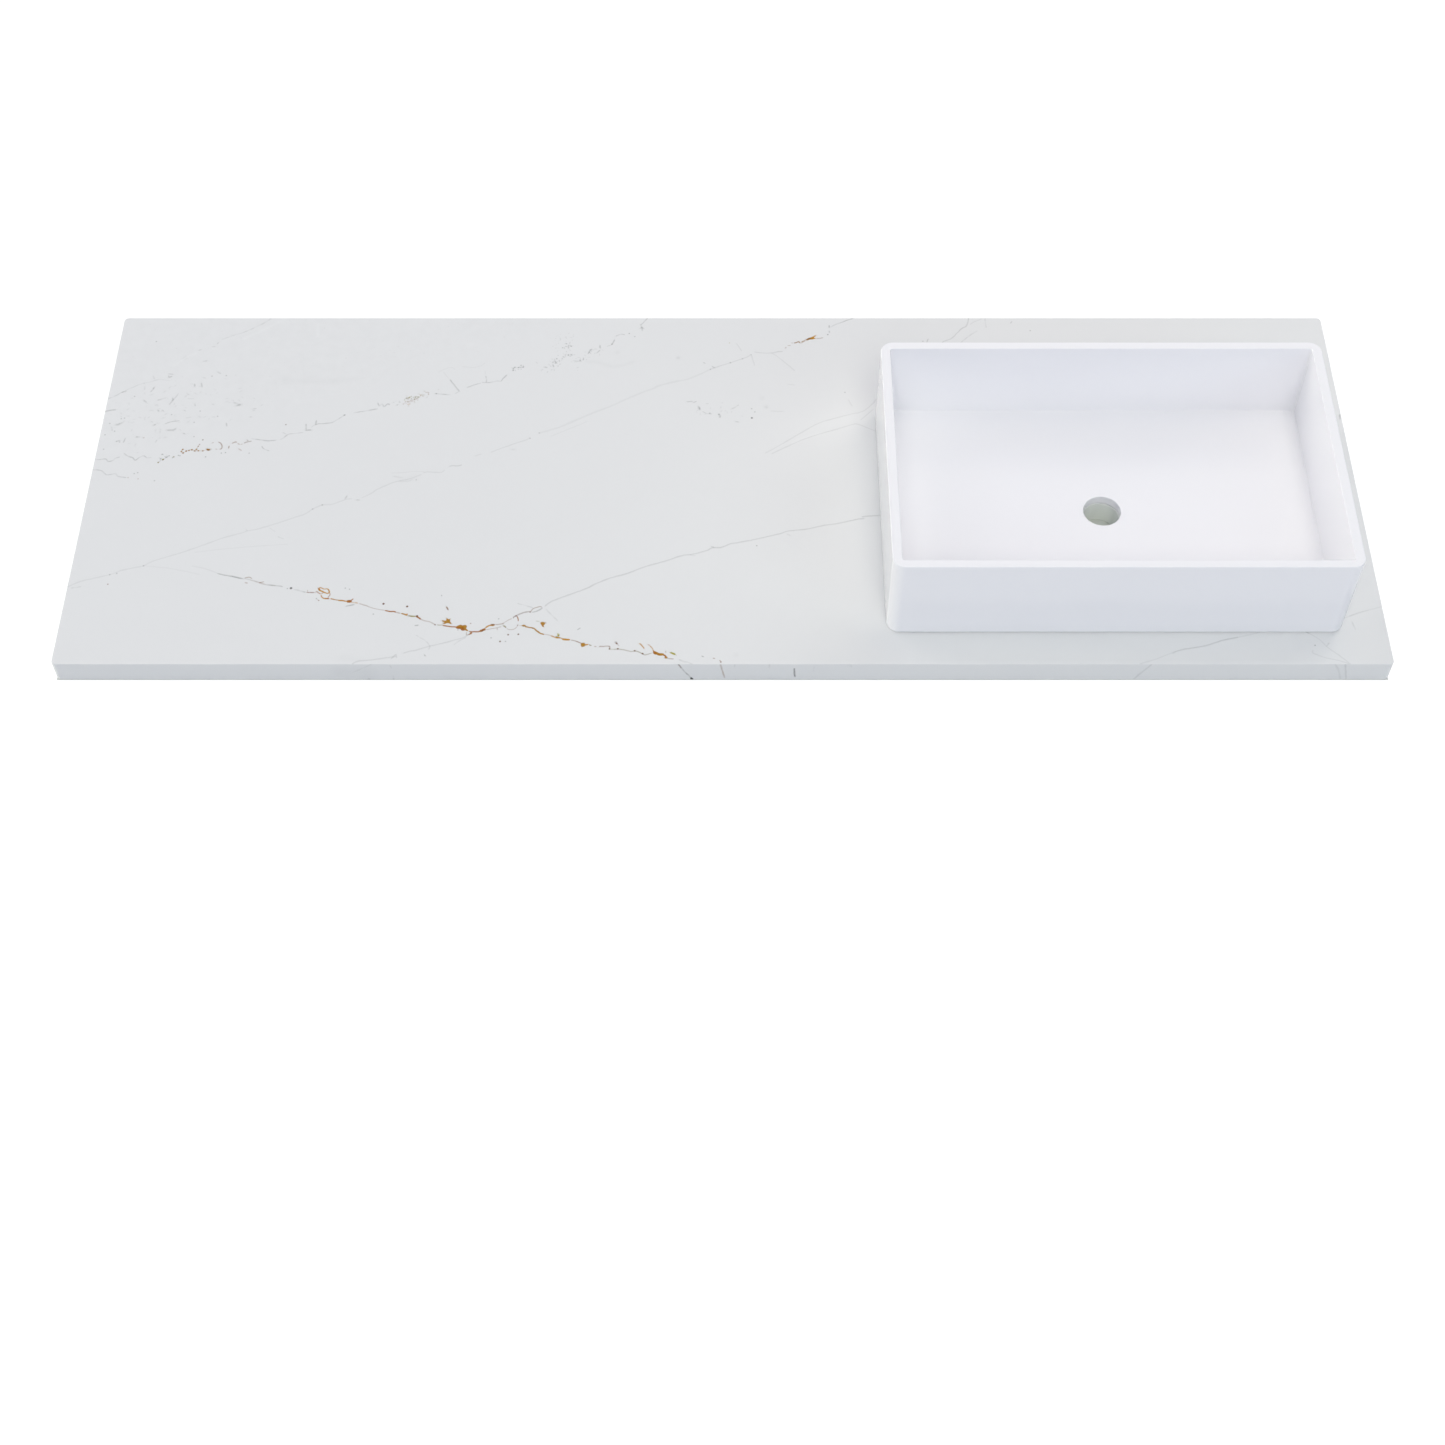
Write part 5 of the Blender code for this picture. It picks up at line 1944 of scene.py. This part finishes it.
@dataclass(frozen=True)
class Studio:
    """Camera, soft light, a white surround and a pale floor that keeps the object's shadow.

    The floor has one colour where it is seen, one for the light that it sends back, and a greenish grey one
    under the object, a painted shade tone that shows through the drain hole.
    """

    lens: float = 55.752
    sensor: float = 36.0
    camera_place: tuple[float, float, float] = (-0.000035, -1.817107, 2.101288)
    camera_tilt: float = 35.0999
    ambient: Colour = (0.11, 0.137, 0.247, 1.0)
    white: Colour = (1.0, 1.0, 1.0, 1.0)
    floor_reach: float = 14.0
    floor_drop: float = 0.0002
    floor_cloud: Cloud = Cloud(0.8, 1.0)
    floor_tone: float = 0.02
    floor_glow: float = 0.80
    floor_colour: Colour = (0.30, 0.30, 0.305, 1.0)
    floor_bounce: Colour = (0.72, 0.72, 0.73, 1.0)
    # Greenish grey floor under the object: a painted shade tone seen through the drain hole
    floor_under_painted_shade: Colour = (0.61, 0.635, 0.61, 1.0)
    lamps: tuple[Lamp, ...] = (
        Lamp("high_front", (0.0, -3.7, 5.9), 3.5, 195.8, (1.0, 0.99, 0.86)),
        Lamp("low_left", (-6.9, 0.0, 1.2), 2.0, 191.2, (1.0, 0.99, 0.795)),
        Lamp("left_back", (-2.6, 2.2, 2.6), 2.4, 45.6, (1.0, 0.945, 0.88)),
        Lamp("right_back", (2.6, 2.2, 2.6), 2.4, 39.5, (1.0, 0.975, 0.90)),
        Lamp("low_right_front", (4.5, -4.5, 3.0), 3.5, 58.6, (0.895, 1.0, 0.92)),
        Lamp("low_front", (0.0, -6.3, 3.0), 3.5, 41.5, (0.93, 0.96, 1.0)),
        Lamp("over_basin", (0.7, 0.4, 2.2), 1.0, 6.6, (1.0, 0.88, 0.655)),
    )

    def camera(self) -> None:
        """Set the camera at the photograph's angle."""
        data = bpy.data.cameras.new("camera")
        data.lens = self.lens
        data.sensor_width = self.sensor
        camera = add_object("camera", data)
        camera.location = self.camera_place
        camera.rotation_euler = (math.radians(self.camera_tilt), 0.0, 0.0)
        bpy.context.scene.camera = camera

    @staticmethod
    def seen_directly(graph: Graph) -> Wire:
        """Give 1 for rays from the camera, and through gloss or glass, else 0."""
        path = graph.node("ShaderNodeLightPath", output="Is Camera Ray")
        return path.or_else(path.other("Is Glossy Ray")).or_else(path.other("Is Transmission Ray"))

    def world(self) -> None:
        """Surround the object with an even light that looks white."""
        world = bpy.data.worlds.new("surround")
        world.use_nodes = True
        graph = Graph(world.node_tree)
        colour = graph.blend(self.seen_directly(graph), self.ambient, self.white)
        light = graph.node("ShaderNodeBackground", {}, {"Color": colour, "Strength": 1.0})
        graph.end("ShaderNodeOutputWorld", {"Surface": light})
        bpy.context.scene.world = world

    def floor(self, low: Vector, high: Vector) -> None:
        """Lay the floor under the object.

        Args:
            low: Lowest corner of the object.
            high: Highest corner of the object.
        """
        mesh = bpy.data.meshes.new("studio_floor")
        reach = self.floor_reach
        corners = [(-reach, -reach), (reach, -reach), (reach, reach), (-reach, reach)]
        level = low.z - self.floor_drop
        mesh.from_pydata([(x, y, level) for x, y in corners], [], [(0, 1, 2, 3)])
        floor = add_object("studio_floor", mesh)
        shader = Shader("pale_floor")
        place = shader.place()
        across = shader.node("ShaderNodeSeparateXYZ", {}, {0: place})
        half_x, half_y = (high.x - low.x) / 2, (high.y - low.y) / 2
        covered = (across.size() < half_x) * (across.other("Y").size() < half_y)
        seen = self.seen_directly(shader)
        tint = shader.cloud(place, self.floor_cloud) * self.floor_tone
        open_floor = shader.blend(seen, self.floor_bounce, self.floor_colour)
        # Under the object the floor takes a greenish grey colour, a painted shade tone seen through the
        # drain hole
        colour = shader.blend(covered, open_floor, self.floor_under_painted_shade)
        colour = shader.lighten(colour, 1 + tint)
        matt = shader.node("ShaderNodeBsdfDiffuse", {}, {"Color": colour})
        glow = shader.node("ShaderNodeEmission", {}, {"Strength": self.floor_glow})
        lit = shader.node("ShaderNodeAddShader", {}, {0: matt, 1: glow})
        shown = shader.node("ShaderNodeMixShader", {}, {0: seen * (1 - covered), 1: matt, 2: lit})
        shader.end("ShaderNodeOutputMaterial", {"Surface": shown})
        mesh.materials.append(shader.material)

    def build(self, low: Vector, high: Vector) -> None:
        """Set up everything round the object.

        Args:
            low: Lowest corner of the object.
            high: Highest corner of the object.
        """
        self.world()
        self.floor(low, high)
        aim = Vector(((low.x + high.x) / 2, (low.y + high.y) / 2, high.z))
        for lamp in self.lamps:
            lamp.build(aim)
        bpy.context.scene.view_settings.view_transform = "Standard"


def main() -> None:
    """Build the sink top and its studio in order."""
    logging.basicConfig(level=logging.INFO, format="%(name)s: %(message)s")
    studio = Studio()
    studio.camera()
    basin = VesselBasin(BasinFinish())
    Countertop(StoneFinish(), basin.centre()).build()
    basin.build()
    sealant = SealantFinish()
    SiliconeBead(sealant, "foot_silicone_bead", "foot_bead", corner_radius=0.0065).build()
    SiliconeBead(sealant, "drain_silicone_bead", "drain_bead", corner_radius=0.0335).build()
    studio.build(*cad_box)


if __name__ == "__main__":
    main()
